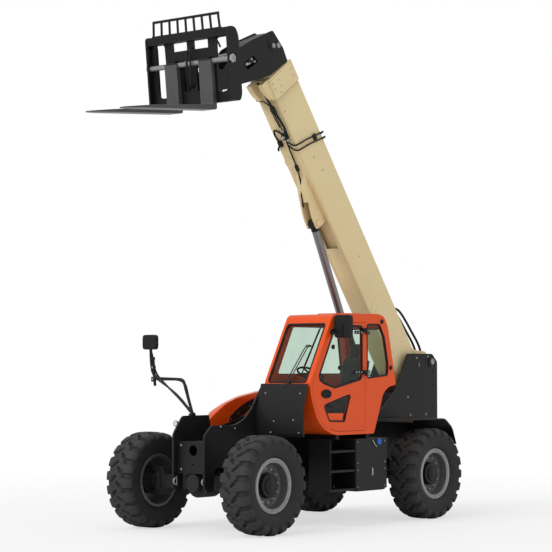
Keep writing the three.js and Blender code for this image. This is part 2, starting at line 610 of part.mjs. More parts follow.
const mirrorClamp = [cabOuterX + seatGap, -520, 2760];
const mirrorCentre = [1315, -450, 2840];
function leftMirror() {
  const clamp = box(mirrorClamp[0], mirrorClamp[0] + 34, mirrorClamp[1] - 22, mirrorClamp[1] + 22,
    mirrorClamp[2] - 35, mirrorClamp[2] + 35);
  const arm = bentBar([[mirrorClamp[0] + 20, mirrorClamp[1], mirrorClamp[2]], [1225, -560, 2740], [1290,
    -530, 2700],
    [mirrorCentre[0], mirrorCentre[1] - 42, 2740], [mirrorCentre[0], mirrorCentre[1] - 38,
      mirrorCentre[2]]], 11, 6, 12);
  const head = prism('y', mirrorCentre[1] - 32, mirrorCentre[1] + 32, [[1172, 2680, 50], [1457, 2680, 50],
    [1457, 2998, 50], [1172, 2998, 50]]);
  const ball = box(mirrorCentre[0] - 20, mirrorCentre[0] + 20, mirrorCentre[1] - 52, mirrorCentre[1] - 30,
    mirrorCentre[2] - 25, mirrorCentre[2] + 25);
  return join(clamp, arm, head, ball);
}
doorPart('mirror_left', leftMirror(), 'plasticBlack');

// ---------------------------------------------------------------- cab interior
const interiorFloor = cabFloor + cabWall + seatGap;
const cabMiddleX = (cabInnerX + cabOuterX) / 2;
function seat() {
  const pedestal = box(cabMiddleX - 150, cabMiddleX + 150, 90, 390, interiorFloor, 1720);
  const cushion = prism('y', 20, 500, [[cabMiddleX - 245, 1700, 30], [cabMiddleX + 245, 1700, 30],
    [cabMiddleX + 250, 1850, 60], [cabMiddleX - 250, 1850, 60]]);
  const back = prism('x', cabMiddleX - 230, cabMiddleX + 230, [[400, 1760, 30], [520, 1760, 30], [640,
    2380, 50],
    [540, 2400, 50]]);
  const rest = prism('x', cabMiddleX - 130, cabMiddleX + 130, [[560, 2370, 20], [630, 2370, 20], [670,
    2600, 40],
    [590, 2610, 40]]);
  return join(pedestal, cushion, back, rest);
}
addPart(machine, 'seat', seat(), 'seatBlack');

const dashTop = 2010;
function dashboard() {
  const console = prism('x', cabMiddleX - 190, cabMiddleX + 190, [[-320, interiorFloor], [-250,
    interiorFloor],
    [-360, 1700, 60], [-420, dashTop, 20], [-760, dashTop, 40], [-760, 1900, 60], [-600, 1800, 60],
    [-500, 1560, 60]]);
  const pod = box(cabInnerX + cabWall + 5, cabInnerX + cabWall + 105, -100, 380, interiorFloor, 1900);
  const link = box(cabInnerX + cabWall + 5, cabMiddleX, -315, -260, interiorFloor, interiorFloor + 40);
  const run = box(cabInnerX + cabWall + 5, cabInnerX + cabWall + 60, -315, -90, interiorFloor,
    interiorFloor + 40);
  return join(console, pod, link, run);
}
addPart(machine, 'dashboard', dashboard(), 'plasticBlack');

const columnRadius = 26;
const columnLean = THREE.MathUtils.degToRad(28);
const steeringWheel = new THREE.Group();
steeringWheel.position.set(cabMiddleX, -560, dashTop + columnRadius * Math.sin(columnLean) + seatGap);
steeringWheel.rotation.x = -columnLean;
machine.add(steeringWheel);
function steeringRing() {
  const ring = toSolid(new THREE.TorusGeometry(190, 15, 6, 20).translate(0, 0, 170));
  const spokes = join(prism('z', 160, 176, [[-190, -14], [190, -14], [190, 14], [-190, 14]]),
    prism('z', 160, 176, [[-14, -190], [14, -190], [14, 0], [-14, 0]]));
  return join(ring, spokes, bar('z', 45, 150, 182, [0, 0], 16), bar('z', columnRadius, 0, 160, [0, 0], 14));
}
addPart(steeringWheel, 'steering_wheel', steeringRing(), 'plasticBlack');

// ---------------------------------------------------------------- fascia, tank and steps on the cab side
addPart(machine, 'front_fascia', prism('x', frameHalfWidth + seatGap, cabOuterX, [[-1046, 2034], [-1150,
  1700],
  [-1160, 1330, 20], [-1130, 1300], [-1118, 1300], [-1132, 1690], [-1028, 2034]]), 'plasticBlack');

const tankFront = 47;
addPart(machine, 'side_tank', prism('x', tankInner, cabOuterX, [[tankFront, 495, 30], [765, 495, 60],
  [765, 868],
  [818, 1230, 20], [790, 1244], [tankFront, 1244, 20]]), 'frameBlack');

const stepTreads = [545, 812, 1089];
const stringerFront = -540;
function accessSteps() {
  const stringer = box(760, cabOuterX, stringerFront, stringerFront + 14, 500, cabFloor - 64 - seatGap);
  const backPlate = box(760, 774, stringerFront, tankFront - seatGap, 500, cabFloor - 64 - seatGap);
  const treads = stepTreads.map((z) => cut(box(770, cabOuterX - 10, stringerFront + 10,
    tankFront - seatGap, z - 30, z),
    box(800, cabOuterX - 40, stringerFront + 40, tankFront - 30, z - 40, z - 6)));
  return join(stringer, backPlate, ...treads);
}
addPart(machine, 'access_steps', accessSteps(), 'frameBlack');

// ---------------------------------------------------------------- right mirror on the frame's front corner
function rightMirror() {
  const base = box(-frameHalfWidth, -frameInner, -1865, -1790, mirrorSeat + seatGap, mirrorSeat + 40);
  const post = bentBar([[-286, -1828, mirrorSeat + 20], [-350, -1836, 1800], [-431, -1850, 2050], [-520,
    -1858, 2090],
    [-880, -1900, 2110], [-960, -1915, 2170], [-985, -1930, 2330], [-990, -1940, 2620]], 21, 8, 22);
  const strut = bentBar([[-290, -1810, mirrorSeat + 20], [-560, -1850, 1880], [-900, -1900, 2095]], 13,
    6, 6);
  const head = prism('y', -1975, -1915, [[-1117, 2514, 50], [-863, 2514, 50], [-863, 2724, 50], [-1117,
    2724, 50]]);
  return join(base, post, strut, head);
}
addPart(machine, 'mirror_right', rightMirror(), 'plasticBlack');

// ---------------------------------------------------------------- boom
// Boom pieces are drawn with how far along the boom they lie, and how far above its pivot line.
const boom = new THREE.Group();
boom.position.set(0, boomPivotY, boomPivotZ);
boom.rotation.x = -boomAngle;
machine.add(boom);
const onBoom = (points) => points.map(([along, up, radius]) => [-along, up, radius]);
const boomPrism = (x0, x1, points) => prism('x', x0, x1, onBoom(points));
const boomBox = (x0, x1, along0, along1, up0, up1) => box(x0, x1, -along1, -along0, up0, up1);

const slotHalf = 106;                // the lowered lift cylinder dips into the base's underside
const cheekInner = liftEyeHalf + 6;
const cheekOuter = cheekInner + 26;
function boomBase() {
  const tube = boomBox(-boomHalfWidth, boomHalfWidth, boomRear, boomEnd, boomBottom, boomTop);
  const bore = boomBox(-boomHalfWidth + boomWall, boomHalfWidth - boomWall, boomRear - 10, collarStart + 60,
    boomBottom + boomWall, boomTop - boomWall);
  const collar = boomBox(-boomHalfWidth - 10, boomHalfWidth + 10, collarStart, boomEnd, boomBottom - 10,
    boomTop + 24);
  const padBox = (x0, x1) => boomPrism(x0, x1, [[5248, boomBottom], [5248, -790], [5340, -838, 10],
    [5440, -872],
    [boomEnd, -880], [boomEnd, boomBottom]]);
  const passage = boomBox(-innerHalfWidth - pinGap, innerHalfWidth + pinGap, collarStart - 20, boomEnd + 20,
    innerBottom - pinGap, innerTop + pinGap);
  const ear = (x0, x1) => boomPrism(x0, x1, [[boomRear, boomTop - 40], [boomRear - 50, -60, 60],
    [boomRear - 30, 105, 80],
    [120, 105, 80], [340, boomTop - 5, 60], [340, boomTop - 40]]);
  const boss = (x0, x1) => bar('x', 108, x0, x1, [0, 0], 24);
  const pin = bar('x', boomPinRadius, -frameHalfWidth - 8, frameHalfWidth + 8, [0, 0], 24);
  const keeper = (x0, x1) => bar('x', 88, x0, x1, [0, 0], 24);
  const cheek = (x0, x1) => boomPrism(x0, x1, [[3540, boomBottom + 8], [3420, -925, 40], [3300, -968, 40],
    [3140, -968, 40], [3128, -900], [3128, boomBottom + 8]]);
  const boss2 = (x0, x1) => bar('x', 52, x0, x1, [-liftEyeAlong, liftEyeUp], 20);
  return cut(join(cut(join(tube, collar), bore, passage), padBox(-150, -70), padBox(70, 150),
    ear(-boomHalfWidth, -boomHalfWidth + 30), ear(boomHalfWidth - 30, boomHalfWidth),
    boss(boomHalfWidth - 30, frameInner - 10), boss(-frameInner + 10, -boomHalfWidth + 30), pin,
    keeper(frameHalfWidth + 2, frameHalfWidth + 14), keeper(-frameHalfWidth - 14, -frameHalfWidth - 2),
    cheek(cheekInner, cheekOuter), cheek(-cheekOuter, -cheekInner), boss2(cheekOuter - 4, cheekOuter + 24),
    boss2(-cheekOuter - 24, -cheekOuter + 4)),
  boomBox(-slotHalf, slotHalf, 2660, 3124, boomBottom - 5, boomBottom + boomWall + 5),
  boomBox(-cheekInner, cheekInner, 3100, 3330, boomBottom - 5, boomBottom + boomWall + 5));
}
addPart(boom, 'boom_base', boomBase(), 'boomTan');

const headPlateOuter = innerHalfWidth + headCheek;
const headTubeEnd = 5640;
const carriagePinRadius = 45;
function boomHead() {
  const tube = cut(boomBox(-innerHalfWidth, innerHalfWidth, innerRear, headTubeEnd, innerBottom, innerTop),
    boomBox(-innerHalfWidth + innerWall, innerHalfWidth - innerWall, innerRear - 10, headTubeEnd + 10,
      innerBottom + innerWall, innerTop - innerWall));
  const padTop = boomBox(-120, 120, innerRear, innerRear + 140, innerTop - 2, boomTop - boomWall - pinGap);
  const padSide = (side) => boomBox(Math.min(side * (innerHalfWidth - 2),
    side * (boomHalfWidth - boomWall - pinGap)),
    Math.max(side * (innerHalfWidth - 2), side * (boomHalfWidth - boomWall - pinGap)), innerRear,
      innerRear + 140,
    -560, -290);
  const cheek = (x0, x1) => boomPrism(x0, x1, [[5556, innerTop - 2, 20], [5757, -167, 60], [6080, -225, 90],
    [6199, -757, 120], [6236, -1042, 100], [6150, -1500, 80], [6125, -1680, 90], [6010, -1712, 90],
      [5900, -1650, 90],
    [5780, -1259, 120], [5653, -909, 80], [5571, -639, 60]]);
  const outer = [innerHalfWidth, headPlateOuter];
  const brace = boomBox(-innerHalfWidth - 5, innerHalfWidth + 5, 5700, 5760, -196, -178);
  const pivotTube = bar('x', 86, -innerHalfWidth - 5, innerHalfWidth + 5, [-carriagePivotAlong,
    carriagePivotUp], 24);
  const tiltPin = bar('x', tiltPinRadius, -headPlateOuter - 16, headPlateOuter + 16, [-tiltPinAlong,
    tiltPinUp], 20);
  const tiltBoss = (x0, x1) => bar('x', 84, x0, x1, [-tiltPinAlong, tiltPinUp], 24);
  const backWeb = boomPrism(-innerHalfWidth - 5, innerHalfWidth + 5, [[5575, -662], [5605, -662], [5672,
    -905],
    [5800, -1255], [5782, -1262], [5654, -909]]);
  return cut(join(tube, padTop, padSide(1), padSide(-1), cheek(...outer), cheek(-outer[1], -outer[0]),
    brace, pivotTube,
    tiltPin, tiltBoss(headPlateOuter - 4, headPlateOuter + 10), tiltBoss(-headPlateOuter - 10,
      -headPlateOuter + 4),
    backWeb),
  bore('x', carriagePinRadius, -400, 400, [-carriagePivotAlong, carriagePivotUp], 24),
  boomPrism(-400, 400, [[5895, -800, 25], [5980, -830, 40], [5965, -960, 40], [5885, -930, 40]]));
}
addPart(boom, 'boom_head', boomHead(), 'frameBlack');

// ---------------------------------------------------------------- lift cylinder between frame and boom
const lift = new THREE.Group();
lift.position.set(0, liftPivotY, liftPivotZ);
lift.rotation.x = -liftAngle;
machine.add(lift);
const liftEyeY = boomPivotY - liftEyeAlong * Math.cos(boomAngle) + liftEyeUp * Math.sin(boomAngle);
const liftEyeZ = boomPivotZ + liftEyeAlong * Math.sin(boomAngle) + liftEyeUp * Math.cos(boomAngle);
const liftLength = Math.hypot(liftEyeY - liftPivotY, liftEyeZ - liftPivotZ);

// A cylinder's barrel from its pin out along -y, bored for its rod and open at the gland.
function barrelSolid(radius, length, rodRadius, eyeRadius, eyeHalf, pinRadius) {
  const tube = bar('y', radius, -length, -eyeRadius * 0.6, [0, 0], 24);
  const gland = bar('y', radius + 8, -length, -length + 70, [0, 0], 24);
  const eye = bar('x', eyeRadius, -eyeHalf, eyeHalf, [0, 0], 24);
  return cut(join(tube, gland, eye), bar('y', rodRadius + pinGap, -length - 10, -eyeRadius - 40, [0, 0],
    24),
    bore('x', pinRadius, -eyeHalf - 10, eyeHalf + 10, [0, 0], 20));
}
addPart(lift, 'lift_cylinder_barrel',
  barrelSolid(liftBarrelRadius - 8, liftBarrelLength, liftRodRadius, 94, 129, liftPinRadius), 'frameBlack');

function rodSolid(radius, length, eyeRadius, eyeHalf) {
  return join(bar('y', radius, 0, length, [0, 0], 24), bar('x', eyeRadius, -eyeHalf, eyeHalf, [0, 0], 24));
}
const liftRod = new THREE.Group();
liftRod.position.y = -liftLength;
lift.add(liftRod);
addPart(liftRod, 'lift_cylinder_rod', rodSolid(liftRodRadius, liftRodLength, 62, liftEyeHalf), 'chrome');

// ---------------------------------------------------------------- tilt cylinder between head and carriage
const tiltLug = [carriagePivotAlong + tiltLugReach * Math.cos(tiltLugAngle),
  carriagePivotUp + tiltLugReach * Math.sin(tiltLugAngle)];
const tiltLength = Math.hypot(tiltLug[0] - tiltPinAlong, tiltLug[1] - tiltPinUp);
const tilt = new THREE.Group();
tilt.position.set(0, -tiltPinAlong, tiltPinUp);
tilt.rotation.x = -Math.atan2(tiltLug[1] - tiltPinUp, tiltLug[0] - tiltPinAlong);
boom.add(tilt);
addPart(tilt, 'tilt_cylinder_barrel',
  barrelSolid(tiltBarrelRadius - 8, tiltBarrelLength, tiltRodRadius, 62, innerHalfWidth - 6,
    tiltPinRadius), 'frameBlack');
const tiltRod = new THREE.Group();
tiltRod.position.y = -tiltLength;
tilt.add(tiltRod);
addPart(tiltRod, 'tilt_cylinder_rod', rodSolid(tiltRodRadius, tiltRodLength, 50, tiltEyeHalf), 'chrome');

// ---------------------------------------------------------------- carriage and forks
const carriage = new THREE.Group();
carriage.position.set(0, -carriagePivotAlong, carriagePivotUp);
carriage.rotation.x = boomAngle + carriagePitch;
boom.add(carriage);
const ahead = (points) => points.map(([forward, up, radius]) => [-forward, up, radius]);
const carriagePrism = (x0, x1, points) => prism('x', x0, x1, ahead(points));
const carriageBox = (x0, x1, forward0, forward1, up0, up1) => box(x0, x1, -forward1, -forward0, up0, up1);

const forkRear = carriageFront - forkThickness;
const shaftForward = forkRear + 12;
const faceRear = forkRear - 46;      // a face plate stands behind the forks
const faceFront = forkRear - 8;
const forkEyeRadius = 62;
const lugInner = headPlateOuter + 16;
const lugOuter = lugInner + 36;

function carriageFrame() {
  const half = carriageHalfWidth;
  const sidePlate = (x0, x1) => cut(carriagePrism(x0, x1, [[carriageRear + 40, carriageBottom, 40],
    [carriageFront - 20, carriageBottom, 30], [carriageFront, carriageBottom + 40, 30], [carriageFront,
      carriageTop - 30, 30],
    [carriageFront - 40, carriageTop, 30], [carriageRear + 60, carriageTop, 60], [carriageRear,
      carriageTop - 120, 60],
    [carriageRear, carriageBottom + 90, 60]]));
  const face = cut(carriageBox(-half + 10, half - 10, faceRear, faceFront, carriageBottom + 20,
    carriageTop - 40),
    carriagePrismZ([[-700, 560, 40], [-480, 560, 40], [-460, -180, 60], [-640, -180, 60]]),
    carriagePrismZ([[700, 560, 40], [480, 560, 40], [460, -180, 60], [640, -180, 60]]),
    carriagePrismZ([[-175, 300, 40], [-90, 300, 40], [-90, -150, 40], [-175, -150, 40]]),
    carriagePrismZ([[175, 300, 40], [90, 300, 40], [90, -150, 40], [175, -150, 40]]),
    carriageBox(60, 330, faceRear - 10, faceFront + 10, 445, 560),
    carriageBox(-330, -60, faceRear - 10, faceFront + 10, 445, 560));
  const topBar = carriageBox(-half + 10, half - 10, forkRear - 40, carriageFront - 10, carriageTop - 120,
    carriageTop - 10);
  const lowBar = carriageBox(-half + 10, half - 10, faceRear - 70, faceFront, carriageBottom,
    carriageBottom + 90);
  const lug = (x0, x1) => carriagePrism(x0, x1, [[faceRear + 10, 330, 30], [180, 190, 60], [-60, 92, 60],
    [-96, -20, 70], [-40, -100, 70], [70, -110, 60], [250, -280, 60], [faceRear + 10,
      carriageBottom + 10]]);
  const pin = bar('x', carriagePinRadius, -lugOuter, lugOuter, [0, 0], 24);
  const cheek = (x0, x1) => carriagePrism(x0, x1, [[faceRear + 10, 400, 30], [120, 372, 50], [84, 300, 50],
    [120, 236, 50], [faceRear + 10, 180, 30]]);
  const cheekPair = [[tiltEyeHalf + 6, tiltEyeHalf + 26], [-tiltEyeHalf - 26, -tiltEyeHalf - 6]];
  const rest = (z) => carriageBox(-640 + (z > 800 ? 30 : 0), 640 - (z > 800 ? 30 : 0), carriageFront - 45,
    carriageFront - 10, z, z + 34);
  const upright = (k) => {
    const x = -618 + k * (2 * 618) / 8;
    const lean = x / 618 * -18;
    return prism('y', -carriageFront + 14, -carriageFront + 36, [[x - 13, carriageTop - 20], [x + 13,
      carriageTop - 20],
      [x + 13 + lean, backrestTop], [x - 13 + lean, backrestTop]]);
  };
  const shaftHole = bore('x', shaftRadius, -half - 20, half + 20, [-shaftForward, shaftHeight]);
  return cut(join(sidePlate(half - carriagePlate, half), sidePlate(-half, -half + carriagePlate), face,
    topBar, lowBar,
    lug(lugInner, lugOuter), lug(-lugOuter, -lugInner), pin, cheek(...cheekPair[0]), cheek(...cheekPair[1]),
    rest(backrestTop - 34), rest(carriageTop - 30), ...Array.from({ length: 9 }, (_, k) => upright(k))),
      shaftHole);
}

// An opening through the face plate, drawn across and up.
function carriagePrismZ(points) {
  return prism('y', -faceFront - 10, -faceRear + 10, points);
}
addPart(carriage, 'fork_carriage', carriageFrame(), 'frameBlack');

const shaftNut = bar('x', 62, carriageHalfWidth + pinGap, carriageHalfWidth + 30, [-shaftForward,
  shaftHeight], 6);
addPart(carriage, 'fork_shaft', join(bar('x', shaftRadius, -carriageHalfWidth - 20, carriageHalfWidth + 20,
  [-shaftForward, shaftHeight], 20), shaftNut, mirrored(shaftNut)), 'castGrey');

function fork(middle) {
  const [x0, x1] = [middle - forkWidth / 2, middle + forkWidth / 2];
  const bladeTop = forkHeel + forkThickness;
  const tip = forkRear + forkLength;
  const shank = carriagePrism(x0, x1, [[forkRear, forkHeel, 40], [tip - 60, forkHeel + 30], [tip,
    forkHeel + 36, 10],
    [tip, forkHeel + 48, 10], [tip - 500, bladeTop - 8, 40], [carriageFront, bladeTop, 30],
    [carriageFront, shaftHeight + 30, 20], [forkRear, shaftHeight + 30, 20]]);
  const nose = prism('z', forkHeel - 10, bladeTop + 10, [[x0, -forkRear + 20], [x0, -tip + 260, 160],
    [x0 + 60, -tip, 30],
    [x1 - 60, -tip, 30], [x1, -tip + 260, 160], [x1, -forkRear + 20]]);
  const upperPart = carriageBox(x0, x1, forkRear - 5, carriageFront + 5, bladeTop - 5, shaftHeight + 40);
  const eye = bar('x', forkEyeRadius, middle - forkWidth * 0.32, middle + forkWidth * 0.32,
    [-shaftForward, shaftHeight], 24);
  const clear = carriageBox(x0 - 5, x1 + 5, forkRear - 200, faceFront + seatGap, shaftHeight - 100,
    shaftHeight + 100);
  return cut(join(shank.intersect(join(nose, upperPart)), cut(eye, clear)),
    bore('x', shaftRadius, x0 - 10, x1 + 10, [-shaftForward, shaftHeight]));
}
addPart(carriage, 'fork_left', fork(forkSpacing / 2), 'forkGrey');
addPart(carriage, 'fork_right', fork(-forkSpacing / 2), 'forkGrey');

// ---------------------------------------------------------------- centre the machine over its origin
machine.updateMatrixWorld(true);
const bounds = new THREE.Box3().setFromObject(machine, true);
machine.position.set(-(bounds.min.x + bounds.max.x) / 2, -(bounds.min.y + bounds.max.y) / 2, -bounds.min.z);

const group = new THREE.Group();
group.add(machine);
export default group;
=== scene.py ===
import json
import math

import bmesh
import bpy
import numpy as np
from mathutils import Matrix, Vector
from mathutils.bvhtree import BVHTree
from mathutils.geometry import tessellate_polygon

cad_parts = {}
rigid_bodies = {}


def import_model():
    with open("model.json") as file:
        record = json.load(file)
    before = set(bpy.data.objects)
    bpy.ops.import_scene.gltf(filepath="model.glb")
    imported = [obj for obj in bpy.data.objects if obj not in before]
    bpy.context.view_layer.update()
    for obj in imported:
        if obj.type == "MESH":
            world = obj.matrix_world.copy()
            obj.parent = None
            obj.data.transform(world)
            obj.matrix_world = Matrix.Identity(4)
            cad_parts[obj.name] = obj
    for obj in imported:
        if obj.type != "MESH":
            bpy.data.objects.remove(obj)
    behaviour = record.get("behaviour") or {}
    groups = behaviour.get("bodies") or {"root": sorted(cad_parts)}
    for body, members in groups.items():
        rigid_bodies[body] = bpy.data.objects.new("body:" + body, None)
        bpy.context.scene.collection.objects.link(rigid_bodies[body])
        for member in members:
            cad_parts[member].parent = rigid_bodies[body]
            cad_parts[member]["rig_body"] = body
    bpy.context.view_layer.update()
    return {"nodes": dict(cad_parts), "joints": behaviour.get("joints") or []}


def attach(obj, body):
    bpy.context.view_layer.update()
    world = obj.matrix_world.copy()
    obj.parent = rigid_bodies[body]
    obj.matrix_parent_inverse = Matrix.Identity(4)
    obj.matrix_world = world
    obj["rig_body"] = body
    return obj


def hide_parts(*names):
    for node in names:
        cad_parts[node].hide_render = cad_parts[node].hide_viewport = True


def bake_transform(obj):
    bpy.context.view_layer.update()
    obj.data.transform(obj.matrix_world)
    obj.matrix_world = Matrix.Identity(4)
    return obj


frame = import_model()

# Places are in the machine's own coordinates, in metres: x towards the cab side, y to the rear,
# z up, from the ground midway between the axles. The shift carries them into the frame.
jointAt = {joint["name"]: np.array(joint["pos_m"]) for joint in frame["joints"]}
boomPivot = np.array([0, 3.139, 2.350])
shift = jointAt["boom_lift"] - boomPivot
print("frame loaded:", len(frame["nodes"]), "nodes")


# Places: an origin with three directions, across, along and up
def placeAt(origin, across, along, up):
    return {"origin": np.array(origin, float), "axes": np.array([across, along, up], float)}


def put(place, across, along, up):
    across, along, up = np.broadcast_arrays(across, along, up)
    return place["origin"] + np.stack([across, along, up], -1) @ place["axes"]


boomAngle = math.radians(53.856)
carriagePitch = math.radians(6)
boomAlong = [0, -math.cos(boomAngle), math.sin(boomAngle)]
boomUp = [0, math.sin(boomAngle), math.cos(boomAngle)]
sidePlace = placeAt([0, 0, 0], [1, 0, 0], [0, 1, 0], [0, 0, 1])      # across x, along y, up z
frontPlace = placeAt([0, 0, 0], [0, 1, 0], [1, 0, 0], [0, 0, 1])     # across y, along x, up z
topPlace = placeAt([0, 0, 0], [0, 0, 1], [1, 0, 0], [0, 1, 0])       # across z, along x, up y
boomPlace = placeAt(boomPivot, [1, 0, 0], boomAlong, boomUp)
boomCross = placeAt(boomPivot, boomAlong, [1, 0, 0], boomUp)
# Pins in the boom's own place, as (along, up).
carriagePin = (6.014, -1.602)
tiltPinAt = (5.897, -0.355)
liftEyeAt = (3.200, -0.898)
carriagePlace = placeAt(put(boomPlace, 0, *carriagePin), [1, 0, 0],
                        [0, -math.cos(carriagePitch), -math.sin(carriagePitch)],
                        [0, -math.sin(carriagePitch), math.cos(carriagePitch)])


def unit(vector):
    vector = np.asarray(vector, float)
    return vector / np.linalg.norm(vector, axis=-1, keepdims=True)


# Shapes: each gives its points and its faces
# Quads between the rows and columns of a grid, which may close on itself either way.
def gridFaces(rows, columns, closeRows=False, closeColumns=False):
    r = np.arange(rows if closeRows else rows - 1)
    c = np.arange(columns if closeColumns else columns - 1)
    r, c = np.meshgrid(r, c, indexing="ij")
    nextR, nextC = (r + 1) % rows, (c + 1) % columns
    quads = [r * columns + c, r * columns + nextC, nextR * columns + nextC, nextR * columns + c]
    return np.stack(quads, -1).reshape(-1, 4).tolist()


# A corner (u, v, radius) becomes (1-t)^2 a + 2t(1-t) corner + t^2 b between its tangent points.
def rounded(points, closed=True, steps=5):
    made, count = [], len(points)
    t = np.linspace(0, 1, steps + 1)[:, None]
    for i, point in enumerate(points):
        here = np.array(point[:2], float)
        size = point[2] if len(point) > 2 else 0
        if size == 0 or (not closed and i in (0, count - 1)):
            made.append(here[None])
            continue
        before = np.array(points[i - 1][:2], float) - here
        after = np.array(points[(i + 1) % count][:2], float) - here
        lengths = np.linalg.norm(before), np.linalg.norm(after)
        before, after = before / lengths[0], after / lengths[1]
        turn = math.acos(np.clip(before @ after, -1, 1))
        reach = min(size / max(math.tan(turn / 2), 0.05), 0.48 * lengths[0], 0.48 * lengths[1])
        made.append((1 - t) ** 2 * (here + before * reach) + 2 * t * (1 - t) * here
                    + t ** 2 * (here + after * reach))
    return np.concatenate(made)


# A smooth curve through the points: 0.5(2b + (c-a)t + (2a-5b+4c-d)t^2 + (3b-a-3c+d)t^3).
def spline(points, perSpan=6, closed=False):
    p = np.array(points, float)
    if closed:
        p = np.concatenate([p[-1:], p, p[:2]])
    else:
        p = np.concatenate([2 * p[:1] - p[1:2], p, 2 * p[-1:] - p[-2:-1]])
    a, b, c, d = p[:-3, None], p[1:-2, None], p[2:-1, None], p[3:, None]
    t = np.linspace(0, 1, perSpan, endpoint=False)[None, :, None]
    line = 0.5 * (2 * b + (c - a) * t + (2 * a - 5 * b + 4 * c - d) * t ** 2
                  + (3 * b - a - 3 * c + d) * t ** 3)
    line = line.reshape(-1, p.shape[1])
    return line if closed else np.concatenate([line, p[-2:-1]])


# A profile of (radius, along) turned about an axis: origin + along*axis + radius*(cos, sin).
def lathe(origin, axis, profile, steps=48, closed=False):
    axis = unit(axis)
    side = unit(np.cross(axis, [0.31, 0.52, 0.79]))
    angle = np.linspace(0, 2 * math.pi, steps, endpoint=False)[:, None]
    ring = np.cos(angle) * side + np.sin(angle) * np.cross(axis, side)
    profile = np.array(profile, float)
    points = np.asarray(origin) + profile[:, None, 1:] * axis + profile[:, None, :1] * ring[None]
    return points.reshape(-1, 3), gridFaces(len(profile), steps, closed, True)


# A stud's profile: straight up to one height, then drawn in to a smaller top.
def stud(radius, straight, top, height):
    return [(0, 0), (radius, 0), (radius, straight), (top, height), (0, height)]


def rod(start, end, radius, steps=32, chamfer=0.0):
    start, end = np.array(start, float), np.array(end, float)
    length = np.linalg.norm(end - start)
    profile = [(0, 0), (radius - chamfer, 0), (radius, chamfer), (radius, length - chamfer),
               (radius - chamfer, length), (0, length)]
    return lathe(start, end - start, profile, steps)


# A round or flattened section carried along a path: path + radius(cos*side*flat + sin*other).
def tube(path, radius, sides=12, closed=False, flat=1.0):
    path = np.array(path, float)
    tangent = np.roll(path, -1, 0) - np.roll(path, 1, 0)
    if not closed:
        tangent[0], tangent[-1] = path[1] - path[0], path[-1] - path[-2]
    tangent = unit(tangent)
    normal = np.linalg.svd(path - path.mean(0), full_matrices=len(path) < 4)[2][-1]
    side = unit(normal - (tangent @ normal)[:, None] * tangent)
    other = np.cross(tangent, side)
    angle = np.linspace(0, 2 * math.pi, sides, endpoint=False)[None, :, None]
    ring = side[:, None] * np.cos(angle) * flat + other[:, None] * np.sin(angle)
    points = (path[:, None] + radius * ring).reshape(-1, 3)
    faces = gridFaces(len(path), sides, closed, True)
    if not closed:
        faces += [list(range(sides)), list(range(len(points) - sides, len(points)))]
    return points, faces


# The same rod, and a smooth path, from points given as (across, along, up) in a place.
def rodIn(place, start, end, *size):
    return rod(put(place, *start), put(place, *end), *size)


def pathIn(place, route, perSpan=8):
    return spline(put(place, *np.array(route).T), perSpan)


# A flat outline, with any holes, carried straight across from one depth to another.
def plate(place, outline, start, end, holes=()):
    loops = [rounded(outline)] + [rounded(hole) for hole in holes]
    flat = np.concatenate(loops)
    count = len(flat)
    caps = tessellate_polygon([[Vector((u, v, 0)) for u, v in loop] for loop in loops])
    points = np.concatenate([put(place, start, flat[:, 0], flat[:, 1]),
                             put(place, end, flat[:, 0], flat[:, 1])])
    faces = [list(cap) for cap in caps] + [[i + count for i in cap] for cap in caps]
    first = 0
    for loop in loops:
        i = first + np.arange(len(loop))
        j = first + (np.arange(len(loop)) + 1) % len(loop)
        faces += np.stack([i, j, j + count, i + count], -1).tolist()
        first += len(loop)
    return points, faces


def block(place, across, along, up, corner=0.0):
    corners = [(along[0], up[0], corner), (along[1], up[0], corner),
               (along[1], up[1], corner), (along[0], up[1], corner)]
    return plate(place, corners, *across)


# Bolt heads as one array: each is its place + a chamfered six-sided ring * its size.
def bolts(places, normal, radius=0.012, height=0.009, sides=6):
    places = np.array(places, float).reshape(-1, 3)
    normal = unit(normal)
    side = unit(np.cross(normal, [0.31, 0.52, 0.79]))
    angle = np.linspace(0, 2 * math.pi, sides, endpoint=False)[None, :, None]
    around = np.cos(angle) * side + np.sin(angle) * np.cross(normal, side)
    size = np.array([0.0, 1.35, 1.35, 1.0, 1.0, 0.82, 0.0])[:, None, None] * radius
    lift = np.array([-0.3, -0.3, 0.22, 0.22, 0.8, 1.0, 1.0])[:, None, None] * height
    head = (around * size + normal * lift).reshape(-1, 3)
    faces = np.array(gridFaces(7, sides, False, True))
    points = (places[:, None] + head[None]).reshape(-1, 3)
    return points, (faces[None] + len(head) * np.arange(len(places))[:, None, None]).reshape(-1, 4).tolist()


# From shapes to pieces
def addObject(name, mesh, look, body):
    made = bpy.data.objects.new(name, mesh)
    bpy.context.scene.collection.objects.link(made)
    mesh.materials.append(looks[look])
    if body:
        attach(made, body)
    return made


def soften(made, bevel, sharp=35, segments=2):
    made.data.shade_smooth()
    made.data.set_sharp_from_angle(angle=math.radians(sharp))
    if bevel:
        edges = made.modifiers.new("edges", "BEVEL")
        edges.width, edges.segments = bevel, segments
        edges.limit_method, edges.angle_limit = "ANGLE", math.radians(sharp)
        edges.harden_normals = True


